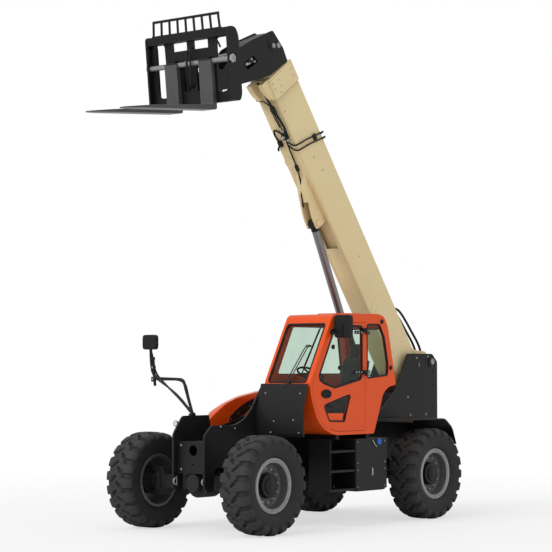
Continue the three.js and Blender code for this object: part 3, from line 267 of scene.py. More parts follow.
def piece(name, shapes, look, body, replaces=(), bevel=0.0, sharp=35, wall=0.0, merge=1e-5,
          flatten=True):
    points = np.concatenate([shape[0] for shape in shapes]) + shift
    starts = np.cumsum([0] + [len(shape[0]) for shape in shapes])
    faces = [[i + start for i in face] for shape, start in zip(shapes, starts.tolist())
             for face in shape[1]]
    mesh = bpy.data.meshes.new(name)
    mesh.from_pydata(points.tolist(), [], faces)
    work = bmesh.new()
    work.from_mesh(mesh)
    bmesh.ops.remove_doubles(work, verts=work.verts, dist=merge)
    bmesh.ops.dissolve_degenerate(work, edges=work.edges, dist=merge)
    bmesh.ops.recalc_face_normals(work, faces=work.faces)
    if flatten:
        bmesh.ops.dissolve_limit(work, angle_limit=0.004, verts=work.verts, edges=work.edges)
    work.to_mesh(mesh)
    work.free()
    made = addObject(name, mesh, look, body)
    if wall:
        shell = made.modifiers.new("wall", "SOLIDIFY")
        shell.thickness, shell.offset = wall, -1
    soften(made, bevel, sharp)
    if replaces:
        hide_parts(*replaces)
    return made


# A CAD node's own shape, merged, with its flat faces whole and its edges eased.
def eased(node, look, bevel=0.004, sharp=35, name=None):
    work = bmesh.new()
    work.from_mesh(frame["nodes"][node].data)
    bmesh.ops.remove_doubles(work, verts=work.verts, dist=2e-5)
    bmesh.ops.dissolve_limit(work, angle_limit=0.01, verts=work.verts, edges=work.edges)
    work.verts.index_update()
    points = [vert.co[:] for vert in work.verts]
    faces = [[vert.index for vert in face.verts] for face in work.faces]
    work.free()
    mesh = bpy.data.meshes.new(node)
    mesh.from_pydata(points, [], faces)
    made = addObject(name or node + "_finish", mesh, look, frame["nodes"][node]["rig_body"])
    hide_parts(node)
    soften(made, bevel, sharp)
    return made


# The faces that a test picks, by their middles in machine coordinates, take another look.
def repaint(made, look, test):
    mesh = made.data
    middles = np.zeros(len(mesh.polygons) * 3)
    mesh.polygons.foreach_get("center", middles)
    middles = middles.reshape(-1, 3) - shift
    mesh.materials.append(looks[look])
    index = np.where(test(*middles.T), len(mesh.materials) - 1, 0)
    old = np.zeros(len(mesh.polygons), int)
    mesh.polygons.foreach_get("material_index", old)
    mesh.polygons.foreach_set("material_index", np.where(index > 0, index, old))


# Looks
def srgb(red, green, blue):
    value = np.array([red, green, blue]) / 255
    linear = np.where(value <= 0.04045, value / 12.92, ((value + 0.055) / 1.055) ** 2.4)
    return (*linear.tolist(), 1.0)


def addNode(tree, kind, inputs=None, **settings):
    node = tree.nodes.new(kind)
    for key, value in settings.items():
        setattr(node, key, value)
    for key, value in (inputs or {}).items():
        if isinstance(value, bpy.types.NodeSocket):
            tree.links.new(value, node.inputs[key])
        else:
            node.inputs[key].default_value = value
    return node


def newGroup(name, inputs, outputs):
    group = bpy.data.node_groups.new(name, "ShaderNodeTree")
    for label, value in inputs.items():
        socket = group.interface.new_socket(label, in_out="INPUT", socket_type="NodeSocketFloat")
        socket.default_value = value
    for label in outputs:
        group.interface.new_socket(label, in_out="OUTPUT", socket_type="NodeSocketFloat")
    return group, group.nodes.new("NodeGroupInput").outputs, group.nodes.new("NodeGroupOutput").inputs


def mathNode(tree, operation, a, b=0.0, clamp=False):
    node = tree.nodes.new("ShaderNodeMath")
    node.operation, node.use_clamp = operation, clamp
    for socket, value in zip(node.inputs, (a, b)):
        if isinstance(value, bpy.types.NodeSocket):
            tree.links.new(value, socket)
        else:
            socket.default_value = value
    return node.outputs[0]


def noise(tree, scale, detail=4.0, rough=0.55):
    coords = addNode(tree, "ShaderNodeTexCoord").outputs["Object"]
    return addNode(tree, "ShaderNodeTexNoise", {"Vector": coords, "Scale": scale, "Detail": detail,
                                                "Roughness": rough}).outputs["Fac"]


# Rubbed edges, partly painted edge highlights: 1 - rounded normal . true normal, broken up by noise.
def makeEdgeRubAndHighlight():
    tree, given, out = newGroup("edgeRubAndPaintedHighlight", {"Width": 0.01, "Amount": 0.5}, ["Mask"])
    soft = addNode(tree, "ShaderNodeBevel", {"Radius": given["Width"]}, samples=3).outputs[0]
    hard = addNode(tree, "ShaderNodeNewGeometry").outputs["Normal"]
    dot = addNode(tree, "ShaderNodeVectorMath", {0: soft, 1: hard}, operation="DOT_PRODUCT")
    edge = mathNode(tree, "MULTIPLY", mathNode(tree, "SUBTRACT", 1.0, dot.outputs["Value"]), 9.0, True)
    patchy = mathNode(tree, "MULTIPLY", mathNode(tree, "SUBTRACT", noise(tree, 22.0), 0.36), 4.0, True)
    tree.links.new(mathNode(tree, "MULTIPLY", mathNode(tree, "MULTIPLY", edge, patchy),
                            given["Amount"], True), out["Mask"])
    return tree


# Broad tone changes and the fine unevenness of a sprayed or cast surface.
def makeGrain():
    tree, given, out = newGroup("surfaceGrain", {"Broad": 2.5, "Fine": 260.0}, ["Tone", "Height"])
    tree.links.new(noise(tree, given["Broad"], 5.0), out["Tone"])
    tree.links.new(noise(tree, given["Fine"], 3.0), out["Height"])
    return tree


# Dust lies on faces that look up, and more of it low down on the machine.
def makeDust():
    tree, given, out = newGroup("settledDust", {"Amount": 0.3}, ["Mask"])
    split = addNode(tree, "ShaderNodeSeparateXYZ",
                    {0: addNode(tree, "ShaderNodeNewGeometry").outputs["Normal"]}).outputs["Z"]
    place = addNode(tree, "ShaderNodeSeparateXYZ",
                    {0: addNode(tree, "ShaderNodeTexCoord").outputs["Object"]}).outputs["Z"]
    low = mathNode(tree, "SUBTRACT", 1.0, mathNode(tree, "DIVIDE", place, 2.2), True)
    up = mathNode(tree, "MULTIPLY", split, 0.8, True)
    spread = mathNode(tree, "MULTIPLY", mathNode(tree, "ADD", up, mathNode(tree, "MULTIPLY", low, 0.35)),
                      mathNode(tree, "MULTIPLY", noise(tree, 6.0, 6.0), 1.3))
    tree.links.new(mathNode(tree, "MULTIPLY", spread, given["Amount"], True), out["Mask"])
    return tree


groups = {"edgeRubAndHighlight": makeEdgeRubAndHighlight(), "grain": makeGrain(), "dust": makeDust()}
dustColour = srgb(150, 138, 118)


def useGroup(tree, key, **inputs):
    node = tree.nodes.new("ShaderNodeGroup")
    node.node_tree = groups[key]
    for label, value in inputs.items():
        node.inputs[label].default_value = value
    return node.outputs


def mixColour(tree, factor, a, b, blend="MIX"):
    node = addNode(tree, "ShaderNodeMix", data_type="RGBA", blend_type=blend)
    for socket, value in ((node.inputs[0], factor), (node.inputs[6], a), (node.inputs[7], b)):
        if isinstance(value, bpy.types.NodeSocket):
            tree.links.new(value, socket)
        else:
            socket.default_value = value
    return node.outputs[2]


def newLook(name):
    look = bpy.data.materials.new(name)
    look.use_nodes = True
    tree = look.node_tree
    return look, tree, tree.nodes["Principled BSDF"]


# A coating: its colour with broad tone, bare metal or pale rub at the edges that is partly a painted edge
# highlight, dust, and grain.
def coating(name, colour, rough=0.45, metallic=0.0, coat=0.0, tone=0.12, edgeRubAndHighlight=0.4, edgeRubAndHighlightColour=(150, 150, 150),
            dust=0.25, fine=260.0, bump=0.05, edgeRubAndHighlightWidth=0.008, shine=0.22):
    look, tree, shader = newLook(name)
    grain = useGroup(tree, "grain", Broad=2.2, Fine=fine)
    base = srgb(*colour)
    dark = tuple(c * (1 - tone) for c in base[:3]) + (1.0,)
    light = tuple(min(1.0, c * (1 + tone)) for c in base[:3]) + (1.0,)
    shade = mixColour(tree, grain["Tone"], dark, light)
    edgeRubAndHighlightMask = useGroup(tree, "edgeRubAndHighlight", Width=edgeRubAndHighlightWidth, Amount=edgeRubAndHighlight)["Mask"]
    # The edges take their worn colour: partly real rub, partly a painted edge highlight.
    shade = mixColour(tree, edgeRubAndHighlightMask, shade, srgb(*edgeRubAndHighlightColour))
    dusty = useGroup(tree, "dust", Amount=dust)["Mask"]
    shade = mixColour(tree, dusty, shade, dustColour)
    tree.links.new(shade, shader.inputs["Base Color"])
    dull = mathNode(tree, "ADD", mathNode(tree, "MULTIPLY", dusty, 0.4),
                    mathNode(tree, "MULTIPLY", grain["Tone"], 0.14))
    tree.links.new(mathNode(tree, "ADD", dull, rough - 0.07, True), shader.inputs["Roughness"])
    shader.inputs["Metallic"].default_value = metallic
    shader.inputs["Coat Weight"].default_value = coat
    shader.inputs["Coat Roughness"].default_value = 0.12
    shader.inputs["Specular IOR Level"].default_value = shine
    bumped = addNode(tree, "ShaderNodeBump", {"Height": grain["Height"], "Strength": bump,
                                              "Distance": 0.002})
    tree.links.new(bumped.outputs[0], shader.inputs["Normal"])
    return look


def clearGlass(name, colour, rough):
    look, tree, shader = newLook(name)
    smear = noise(tree, 3.0, 5.0)
    tint = mixColour(tree, smear, srgb(*colour), srgb(*[min(255, c + 12) for c in colour]))
    tree.links.new(tint, shader.inputs["Base Color"])
    tree.links.new(mathNode(tree, "MULTIPLY", smear, rough), shader.inputs["Roughness"])
    shader.inputs["Transmission Weight"].default_value = 1.0
    shader.inputs["IOR"].default_value = 1.2
    through = addNode(tree, "ShaderNodeBsdfTransparent", {"Color": srgb(*colour)})
    path = addNode(tree, "ShaderNodeLightPath").outputs
    lit = mathNode(tree, "MAXIMUM", path["Is Shadow Ray"], path["Is Diffuse Ray"])
    mix = addNode(tree, "ShaderNodeMixShader", {0: lit, 1: shader.outputs[0], 2: through.outputs[0]})
    tree.links.new(mix.outputs[0], tree.nodes["Material Output"].inputs["Surface"])
    return look


# Tread rubber reads the piece's own attributes: lug is 1 on top of a lug and 0 in a groove.
def treadRubber(name, colour):
    look, tree, shader = newLook(name)
    grain = useGroup(tree, "grain", Broad=5.0, Fine=180.0)
    lug = addNode(tree, "ShaderNodeAttribute", attribute_name="lug").outputs["Fac"]
    ring = addNode(tree, "ShaderNodeAttribute", attribute_name="ring").outputs["Fac"]
    base = srgb(*colour)
    shade = mixColour(tree, grain["Tone"], tuple(c * 0.75 for c in base[:3]) + (1.0,),
                      tuple(c * 1.25 for c in base[:3]) + (1.0,))
    shade = mixColour(tree, mathNode(tree, "MULTIPLY", lug, 0.4), shade, srgb(58, 58, 58))
    shader.inputs["Specular IOR Level"].default_value = 0.25
    dusty = useGroup(tree, "dust", Amount=0.05)["Mask"]
    shade = mixColour(tree, dusty, shade, dustColour)
    tree.links.new(shade, shader.inputs["Base Color"])
    tree.links.new(mathNode(tree, "ADD", mathNode(tree, "MULTIPLY", grain["Tone"], 0.2), 0.55),
                   shader.inputs["Roughness"])
    height = mathNode(tree, "ADD", mathNode(tree, "MULTIPLY", grain["Height"], 0.25), ring)
    bumped = addNode(tree, "ShaderNodeBump", {"Height": height, "Strength": 0.5, "Distance": 0.004})
    tree.links.new(bumped.outputs[0], shader.inputs["Normal"])
    return look


# Woven cloth: two wave bands crossed, over and under.
def wovenCloth(name, colour):
    look, tree, shader = newLook(name)
    coords = addNode(tree, "ShaderNodeTexCoord").outputs["Object"]
    bands = [addNode(tree, "ShaderNodeTexWave", {"Vector": coords, "Scale": 110.0, "Distortion": 0.6},
                     bands_direction=way).outputs["Fac"] for way in ("X", "Z")]
    weave = mathNode(tree, "MULTIPLY", *bands)
    base = srgb(*colour)
    shade = mixColour(tree, weave, tuple(c * 0.6 for c in base[:3]) + (1.0,),
                      tuple(c * 1.5 for c in base[:3]) + (1.0,))
    shade = mixColour(tree, mathNode(tree, "MULTIPLY", noise(tree, 5.0), 0.4), shade, srgb(70, 70, 72))
    tree.links.new(shade, shader.inputs["Base Color"])
    shader.inputs["Roughness"].default_value = 0.9
    shader.inputs["Sheen Weight"].default_value = 0.3
    bumped = addNode(tree, "ShaderNodeBump", {"Height": weave, "Strength": 0.6, "Distance": 0.001})
    tree.links.new(bumped.outputs[0], shader.inputs["Normal"])
    return look


looks = {
    # Each worn colour is partly real rub and partly a painted edge highlight, such as the paler orange on the
    # orange paint.
    "orange": coating("orangePaint", (226, 78, 8), rough=0.34, coat=0.12, tone=0.06, edgeRubAndHighlight=0.25,
                      edgeRubAndHighlightColour=(240, 120, 62), dust=0.08, bump=0.03),
    "tan": coating("sandPaint", (228, 208, 160), rough=0.42, coat=0.05, tone=0.05, edgeRubAndHighlight=0.25,
                   edgeRubAndHighlightColour=(226, 208, 168), dust=0.05, bump=0.03),
    "black": coating("blackPaint", (20, 20, 21), rough=0.42, coat=0.0, tone=0.14, edgeRubAndHighlight=0.35,
                     edgeRubAndHighlightColour=(84, 84, 84), dust=0.06, bump=0.05),
    "frame": coating("framePaint", (21, 21, 22), rough=0.46, coat=0.0, tone=0.16, edgeRubAndHighlight=0.4,
                     edgeRubAndHighlightColour=(90, 90, 90), dust=0.08, bump=0.06),
    "plastic": coating("mouldedPlastic", (22, 22, 23), rough=0.55, tone=0.12, edgeRubAndHighlight=0.12,
                       edgeRubAndHighlightColour=(70, 70, 70), dust=0.05, fine=420.0, bump=0.25),
    "forks": coating("forkSteel", (82, 82, 84), rough=0.4, metallic=0.3, tone=0.16, edgeRubAndHighlight=0.55,
                     edgeRubAndHighlightColour=(150, 150, 152), dust=0.1, bump=0.1, edgeRubAndHighlightWidth=0.012),
    "castIron": coating("castIron", (32, 32, 33), rough=0.6, tone=0.2, edgeRubAndHighlight=0.3, edgeRubAndHighlightColour=(80, 80, 80),
                        dust=0.06, fine=120.0, bump=0.35),
    "rim": coating("rimPaint", (84, 84, 85), rough=0.38, metallic=0.15, coat=0.15, tone=0.08,
                   edgeRubAndHighlight=0.45, edgeRubAndHighlightColour=(196, 196, 196), dust=0.12, bump=0.04),
    # Light bead colour: a painted highlight on the lip's ridges. The darker rim paint between them is partly
    # painted shade in the grooves.
    "rimBeadsPaintedHighlight": coating("rimRings", (168, 168, 168), rough=0.32, metallic=0.3, tone=0.06, edgeRubAndHighlight=0.5,
                       edgeRubAndHighlightColour=(214, 214, 214), dust=0.05),
    "shaft": coating("barSteel", (150, 150, 151), rough=0.35, metallic=0.55, tone=0.1, edgeRubAndHighlight=0.4,
                     edgeRubAndHighlightColour=(200, 200, 200), dust=0.05),
    "chrome": coating("hardChrome", (134, 134, 136), rough=0.36, metallic=1.0, tone=0.05, edgeRubAndHighlight=0.1,
                      edgeRubAndHighlightColour=(220, 220, 220), dust=0.02, bump=0.01),
    "zinc": coating("zincPlate", (176, 176, 172), rough=0.36, metallic=0.6, tone=0.12, edgeRubAndHighlight=0.2,
                    edgeRubAndHighlightColour=(210, 210, 210), dust=0.05),
    "hose": coating("hoseRubber", (26, 26, 26), rough=0.5, tone=0.15, edgeRubAndHighlight=0.1, edgeRubAndHighlightColour=(60, 60, 60),
                    dust=0.08, fine=500.0, bump=0.3),
    "seal": coating("sealRubber", (24, 24, 25), rough=0.6, tone=0.1, edgeRubAndHighlight=0.05, edgeRubAndHighlightColour=(50, 50, 50),
                    dust=0.04),
    "blueCap": coating("blueCap", (34, 96, 190), rough=0.4, tone=0.1, edgeRubAndHighlight=0.2, edgeRubAndHighlightColour=(110, 150, 210),
                       dust=0.05),
    "redLens": coating("redLens", (176, 26, 22), rough=0.18, coat=0.5, tone=0.08, edgeRubAndHighlight=0.05, dust=0.04),
    "clearLens": coating("clearLens", (206, 208, 206), rough=0.12, coat=0.6, tone=0.05, edgeRubAndHighlight=0.05,
                         dust=0.04),
    "mirror": coating("mirrorGlass", (196, 202, 204), rough=0.06, metallic=1.0, tone=0.03, edgeRubAndHighlight=0.0,
                      dust=0.02, bump=0.0),
    "glass": clearGlass("cabGlass", (214, 226, 217), 0.05),
    "rubber": treadRubber("tyreRubber", (38, 38, 39)),
    "cloth": wovenCloth("seatCloth", (44, 46, 48)),
}
print("looks ready:", len(looks))

# Nodes whose own shape is right: (look, bevel)
plainNodes = {
    "main_frame": ("frame", 0.003), "mudguard_rear_left": ("black", 0.003),
    "mudguard_rear_right": ("black", 0.003), "counterweight": ("black", 0.012),
    "engine_pod": ("frame", 0.004), "engine_block": ("castIron", 0.01), "side_tank": ("frame", 0.008),
    "access_steps": ("black", 0.003), "front_fascia": ("black", 0.006),
    "hood": ("orange", 0.008), "cab_frame": ("orange", 0.008), "cab_roof": ("orange", 0.008),
    "cab_door": ("orange", 0.010), "fork_carriage": ("black", 0.003),
    "fork_left": ("forks", 0.006), "fork_right": ("forks", 0.006),
    "front_axle": ("castIron", 0.008), "rear_axle": ("castIron", 0.008),
    "dashboard": ("plastic", 0.015), "mirror_left": ("plastic", 0.0), "mirror_right": ("black", 0.0),
    "windshield": ("glass", 0.0), "rear_window": ("glass", 0.0), "right_window": ("glass", 0.0),
    "quarter_window": ("glass", 0.0), "door_window": ("glass", 0.0), "door_lower_window": ("glass", 0.0),
}
for end in ("front", "rear"):
    for side in ("left", "right"):
        plainNodes[f"knuckle_{end}_{side}"] = ("castIron", 0.006)
finished = {node: eased(node, look, bevel) for node, (look, bevel) in plainNodes.items()}
print("plain nodes finished:", len(finished))

# Wheels
tyreSize = {"radius": 0.675, "lugHeight": 0.032, "lugs": 20, "stepsPerLug": 28, "elbow": 0.105,
            "fadeFrom": 0.235, "fadeTo": 0.275}
wheelSize = {"halfTrack": 1.0535, "halfBase": 1.887, "nuts": 12, "nutCircle": 0.232, "nutTurn": 0.13,
             "nutRadius": 0.015, "nutHeight": 0.030, "hubFace": 0.0425, "steps": 96}
wheelPlaces = {f"{end}_{side}": (sideway * wheelSize["halfTrack"], way * wheelSize["halfBase"],
                                 tyreSize["radius"])
               for end, way in (("front", -1), ("rear", 1))
               for side, sideway in (("left", 1), ("right", -1))}


# The carcass is a smooth half profile mirrored; lugs stand on it along its normal. Round the tyre
# a lug's phase is angle*lugs/2pi + skew(distance), steep to the elbow and then nearly straight.
def tyre(name, centre, way):
    half = [(0.150, 0.357), (0.1685, 0.362), (0.172, 0.379), (0.190, 0.392), (0.214, 0.434),
            (0.2275, 0.498), (0.2245, 0.556), (0.209, 0.604), (0.178, 0.634), (0.120, 0.6425),
            (0.058, 0.6440)]
    control = half + [(0, 0.6443)] + [(-a, r) for a, r in reversed(half)]
    line = spline(control, 3)
    step = np.linalg.norm(np.diff(line, axis=0), axis=1)
    run = np.concatenate([[0], np.cumsum(step)])
    distance = np.abs(run - run[-1] / 2)[:, None]
    tangent = unit(np.gradient(line, axis=0))
    normal = np.stack([-tangent[:, 1], tangent[:, 0]], -1)
    normal *= np.sign((normal * (line - [0, 0.5])).sum(1))[:, None]
    count = tyreSize["lugs"] * tyreSize["stepsPerLug"]
    angle = np.linspace(0, 2 * math.pi, count, endpoint=False)[None]
    pitch = 2 * math.pi * tyreSize["radius"] / tyreSize["lugs"]
    elbow = tyreSize["elbow"]
    skew = (np.minimum(distance, elbow) * 0.62 + 0.030 * (distance > 0.085)) / pitch
    phase = (way * angle * tyreSize["lugs"] / (2 * math.pi) + skew + 0.5 * (line[:, :1] < 0)) % 1
    width = np.interp(distance, [0, 0.03, 0.12, 0.21], [0.86, 0.78, 0.70, 0.64])
    lug = np.clip(np.minimum(phase, width - phase) / 0.04, 0, 1)
    reach = np.clip((tyreSize["fadeTo"] - distance) / (tyreSize["fadeTo"] - tyreSize["fadeFrom"]), 0, 1)
    sipe = (np.abs(phase - width * 0.5) < 0.035) & (distance > 0.02) & (distance < 0.085)
    height = tyreSize["lugHeight"] * lug * reach ** 0.75 * np.where(sipe, 0.68, 1.0)
    along = line[:, :1] + normal[:, :1] * height
    radius = line[:, 1:] + normal[:, 1:] * height
    points = np.stack([centre[0] + along, centre[1] + radius * np.cos(angle),
                       centre[2] + radius * np.sin(angle)], -1)
    rows, columns = points.shape[:2]
    made = piece("tyre_" + name + "_tread", [(points.reshape(-1, 3), gridFaces(rows, columns, True, True))],
                 "rubber", "wheel_" + name, ("tyre_" + name,), sharp=40,
                 merge=1e-6, flatten=False)
    rings = 0.5 * (np.exp(-((line[:, 1:] - 0.45) / 0.006) ** 2) + np.exp(-((line[:,
                                                                                 1:] - 0.545) / 0.005) ** 2))
    for label, value in (("lug", lug * np.clip(reach * 2, 0, 1)), ("ring", rings + 0 * angle)):
        spread = made.data.attributes.new(label, "FLOAT", "POINT")
        if len(spread.data) == value.size:
            spread.data.foreach_set("value", value.astype(np.float32).ravel())
    return made


# Rim profiles are (radius, outward) from the wheel's middle plane.
rimShell = [(0, 0.0215), (0.292, 0.0215), (0.314, -0.030), (0.322, -0.120), (0.330, -0.165),
            (0.338, -0.184), (0.372, -0.184), (0.376, -0.179), (0.376, -0.1705), (0.3565, -0.1695),
            (0.3565, 0.150), (0.312, 0.150), (0.304, 0.110), (0.292, 0.060), (0.272, 0.0425), (0, 0.0425)]
rimRings = [(0.313, 0.148), (0.314, 0.170), (0.320, 0.175), (0.3235, 0.175), (0.325, 0.166), (0.329, 0.166),
            (0.331, 0.178), (0.339, 0.180), (0.341, 0.171), (0.345, 0.171), (0.347, 0.183), (0.368, 0.184),
            (0.375, 0.179), (0.376, 0.1705), (0.357, 0.1695), (0.356, 0.148)]
bead = np.linspace(0, 2 * math.pi, 12, endpoint=False)
hubProfile = [(0, 0.040), (0.176, 0.040), (0.176, 0.050), (0.164, 0.058), (0.160, 0.112), (0.150, 0.122),
              (0.112, 0.125), (0.106, 0.142), (0.096, 0.146), (0.046, 0.147), (0.040, 0.150), (0, 0.150)]
for name, centre in wheelPlaces.items():
    out = np.array([1 if centre[0] > 0 else -1, 0, 0])
    body = "wheel_" + name
    tyre(name, centre, 1 if centre[0] > 0 else -1)
    piece("rim_" + name + "_shell", [lathe(centre, out, rimShell, wheelSize["steps"])], "rim", body,
          ("rim_" + name,), sharp=30)
    piece("rim_" + name + "_lip", [lathe(centre, out, rimRings, wheelSize["steps"], True)], "rim", body,
          sharp=30)
    # The bead rings on the lip are painted light as a painted highlight on the ridges. The lip between them
    # keeps the darker rim paint, partly painted shade in the grooves.
    beads = [lathe(np.array(centre) + out * depth, out,
                   np.stack([radius + size * np.cos(bead), size * np.sin(bead)], -1),
                   96, True) for radius, size, depth in ((0.3195, 0.0050, 0.174),
                                                         (0.3350, 0.0060, 0.179), (0.3530, 0.0060, 0.183),
                                                        (0.3690, 0.0050, 0.181))]
    piece("rim_" + name + "_beads", beads, "rimBeadsPaintedHighlight", body, sharp=80)
    piece("hub_" + name, [lathe(centre, out, hubProfile, 64)], "black", body, sharp=30)
    turn = np.linspace(0, 2 * math.pi, wheelSize["nuts"], endpoint=False) + wheelSize["nutTurn"]
    around = np.stack([0 * turn, np.cos(turn), np.sin(turn)], -1)
    nuts = bolts(np.array(centre) + out * wheelSize["hubFace"] + wheelSize["nutCircle"] * around, out,
                 wheelSize["nutRadius"], wheelSize["nutHeight"])
    piece("wheel_nuts_" + name, [nuts], "zinc", body, sharp=30)
print("wheels made")

# Lift and tilt cylinders
liftPivot = np.array([0, 2.182, 1.000])
liftEye = put(boomPlace, 0, *liftEyeAt)
liftWay = unit(liftEye - liftPivot)
liftLength = np.linalg.norm(liftEye - liftPivot)
tiltPin = put(boomPlace, 0, *tiltPinAt)
tiltLever, tiltLeverAngle = 0.330, math.radians(5)
tiltLug = put(boomPlace, 0, carriagePin[0] + tiltLever * math.cos(tiltLeverAngle),
              carriagePin[1] + tiltLever * math.sin(tiltLeverAngle))
tiltWay = unit(tiltLug - tiltPin)
tiltLength = np.linalg.norm(tiltLug - tiltPin)


# Barrel: an eye across x, a tube out to its gland, and a ring of gland screws.
def cylinder(name, pivot, way, length, size):
    pivot = np.array(pivot)
    r, reach = size["barrel"], size["barrelLength"]
    body = [(size["rod"] + 0.001, 0.10), (r, 0.10), (r, reach - 0.07), (r + 0.008, reach - 0.068),
            (r + 0.008, reach - 0.004), (r + 0.003, reach), (size["rod"] + 0.004, reach),
            (size["rod"] + 0.001, reach - 0.02)]
    eye = [(0, -size["eyeHalf"]), (size["eye"] - 0.006, -size["eyeHalf"]),
           (size["eye"], -size["eyeHalf"] + 0.006),
           (size["eye"], size["eyeHalf"] - 0.006), (size["eye"] - 0.006, size["eyeHalf"]),
           (0, size["eyeHalf"])]
    neck = [(0, 0), (r * 0.94, 0), (r * 0.94, 0.12), (0, 0.12)]
    shapes = [lathe(pivot, way, body, 48, True), lathe(pivot, [1, 0, 0], eye, 40),
              lathe(pivot, way, neck, 40)]
    turn = np.linspace(0, 2 * math.pi, 10, endpoint=False)[:, None]
    across = unit(np.cross(way, [1, 0, 0]))
    ring = pivot + way * reach + (r + size["rod"] + 0.008) / 2 * (np.cos(turn) * np.array([1.0, 0, 0])
                                                                  + np.sin(turn) * across)
    shapes.append(bolts(ring, way, 0.006, 0.006))
    piece(name + "_barrel", shapes, "black", size["barrelBody"],
          (size["barrelNode"],), sharp=30)
    tip = pivot + way * length
    piece(name + "_rod", [rod(tip - way * size["rodLength"], tip - way * size["head"] * 0.6,
                              size["rod"], 48)],
          "chrome", size["rodBody"], (size["rodNode"],), sharp=30)
    end = [(0, -size["rodEyeHalf"]), (size["rodEye"], -size["rodEyeHalf"]),
           (size["rodEye"], size["rodEyeHalf"]),
           (0, size["rodEyeHalf"])]
    collar = [(0, 0), (size["rod"] + 0.001, 0), (size["rod"] + 0.003, 0.006),
              (size["rod"] + 0.003, size["head"] - 0.03),
              (size["rod"] - 0.004, size["head"]), (0, size["head"])]
    piece(name + "_rod_eye", [lathe(tip, [1, 0, 0], end, 40),
                              lathe(tip - way * (size["head"] + 0.02), way, collar, 40)],
          "black", size["rodBody"], sharp=30)


cylinder("lift_ram", liftPivot, liftWay, liftLength,
         {"barrel": 0.092, "barrelLength": 2.14, "rod": 0.060, "eye": 0.094, "eyeHalf": 0.129,
          "rodLength": 2.13, "rodEye": 0.062, "rodEyeHalf": 0.058, "head": 0.10,
          "barrelBody": "lift_barrel", "rodBody": "lift_rod", "barrelNode": "lift_cylinder_barrel",
          "rodNode": "lift_cylinder_rod"})
cylinder("tilt_ram", tiltPin, tiltWay, tiltLength,
         {"barrel": 0.064, "barrelLength": 0.82, "rod": 0.040, "eye": 0.062, "eyeHalf": 0.144,
          "rodLength": 0.80, "rodEye": 0.050, "rodEyeHalf": 0.042, "head": 0.10,
          "barrelBody": "tilt_barrel", "rodBody": "tilt_rod", "barrelNode": "tilt_cylinder_barrel",
          "rodNode": "tilt_cylinder_rod"})
liftPipe = [liftPivot + liftWay * s + np.array([0.035, 0, 0]) + unit(np.cross([1, 0, 0], liftWay)) * h
            for s, h in ((0.16, 0.10), (0.24, 0.112), (1.0, 0.114), (1.90, 0.114), (1.98, 0.10), (2.0, 0.07))]
piece("lift_cylinder_pipe", [tube(spline(liftPipe, 6), 0.011, 10)], "black", "lift_barrel")
print("cylinders made")

# Boom base: a folded box with rounded corners, open below where the lift cylinder swings in
boomSize = {"half": 0.180, "top": -0.141, "bottom": -0.740, "rear": -0.060, "collar": 5.190, "end": 5.545,
            "wall": 0.014, "slot": (2.640, 3.124, 0.112), "neck": (3.124, 3.380, 0.078)}


# Section points (x, up) repeated at each station along the boom, with the slot's quads left out.
def boomShell(half, top, bottom, stations, slots=(), corner=(0.030, 0.055)):
    cuts = sorted({cut[2] for cut in slots})
    section = rounded([(0, bottom)] + [(c, bottom) for c in cuts]
                      + [(half, bottom, corner[1]), (half, top, corner[0]), (-half, top, corner[0]),
                         (-half, bottom, corner[1])] + [(-c, bottom) for c in reversed(cuts)], steps=7)
    stations = np.array(stations)
    points = put(boomPlace, section[None, :, 0], stations[:, None], section[None, :, 1])
    rows, columns = points.shape[:2]
    points = points.reshape(-1, 3)
    faces = np.array(gridFaces(rows, columns, False, True))
    middle = (points[faces].mean(1) - boomPlace["origin"]) @ boomPlace["axes"].T
    keep = np.ones(len(faces), bool)
    for start, end, reach in slots:
        keep &= ~((middle[:, 1] > start) & (middle[:, 1] < end) & (abs(middle[:, 0]) < reach)
                  & (middle[:, 2] < bottom + 0.01))
    return points, faces[keep].tolist()


piece("boom_base_tube", [boomShell(boomSize["half"], boomSize["top"], boomSize["bottom"],
                                   [boomSize["rear"], 0.4, 1.0, 1.8, 2.64, 3.124, 3.38, 4.0, 4.6,
                                    boomSize["collar"] + 0.03],
                                   (boomSize["slot"], boomSize["neck"]))],
      "tan", "boom_base", ("boom_base",), wall=boomSize["wall"], flatten=False)
passage = [(-0.1505, -0.6605), (0.1505, -0.6605), (0.1505, -0.1895), (-0.1505, -0.1895)]
collarShape = [(-0.190, -0.750, 0.05), (0.190, -0.750, 0.05), (0.190, -0.117, 0.03), (-0.190, -0.117, 0.03)]
rimShape = [(-0.189, -0.749, 0.05), (0.189, -0.749, 0.05), (0.189, -0.118, 0.03), (-0.189, -0.118, 0.03)]
collarParts = [plate(boomCross, collarShape, boomSize["collar"] + 0.03, boomSize["end"] - 0.03, [passage]),
               plate(boomCross, rimShape, boomSize["end"] - 0.028, boomSize["end"], [passage])]
wearBox = [(5.248, -0.735), (5.248, -0.790), (5.340, -0.838, 0.01), (5.440, -0.872), (5.545, -0.880),
           (5.545, -0.735)]
for x in (-0.150, 0.070):
    collarParts.append(plate(boomPlace, wearBox, x, x + 0.080))
piece("boom_collar", collarParts, "tan", "boom_base", bevel=0.004)
earShape = [(boomSize["rear"], boomSize["top"] - 0.04), (boomSize["rear"] - 0.050, -0.060, 0.060),
            (boomSize["rear"] - 0.030, 0.105, 0.080),
            (0.120, 0.105, 0.080), (0.340, boomSize["top"] - 0.005, 0.060), (0.340, boomSize["top"] - 0.040)]
foot = [plate(boomPlace, earShape, x, x + 0.030) for x in (-0.180, 0.150)]
foot += [rodIn(boomPlace, (x, 0, 0), (x + 0.112, 0, 0), 0.108, 40, 0.004)
         for x in (-0.262, 0.150)]
piece("boom_foot", foot, "tan", "boom_base", bevel=0.003)
pinParts = [rodIn(boomPlace, (-0.308, 0, 0), (0.308, 0, 0), 0.060, 40, 0.004)]
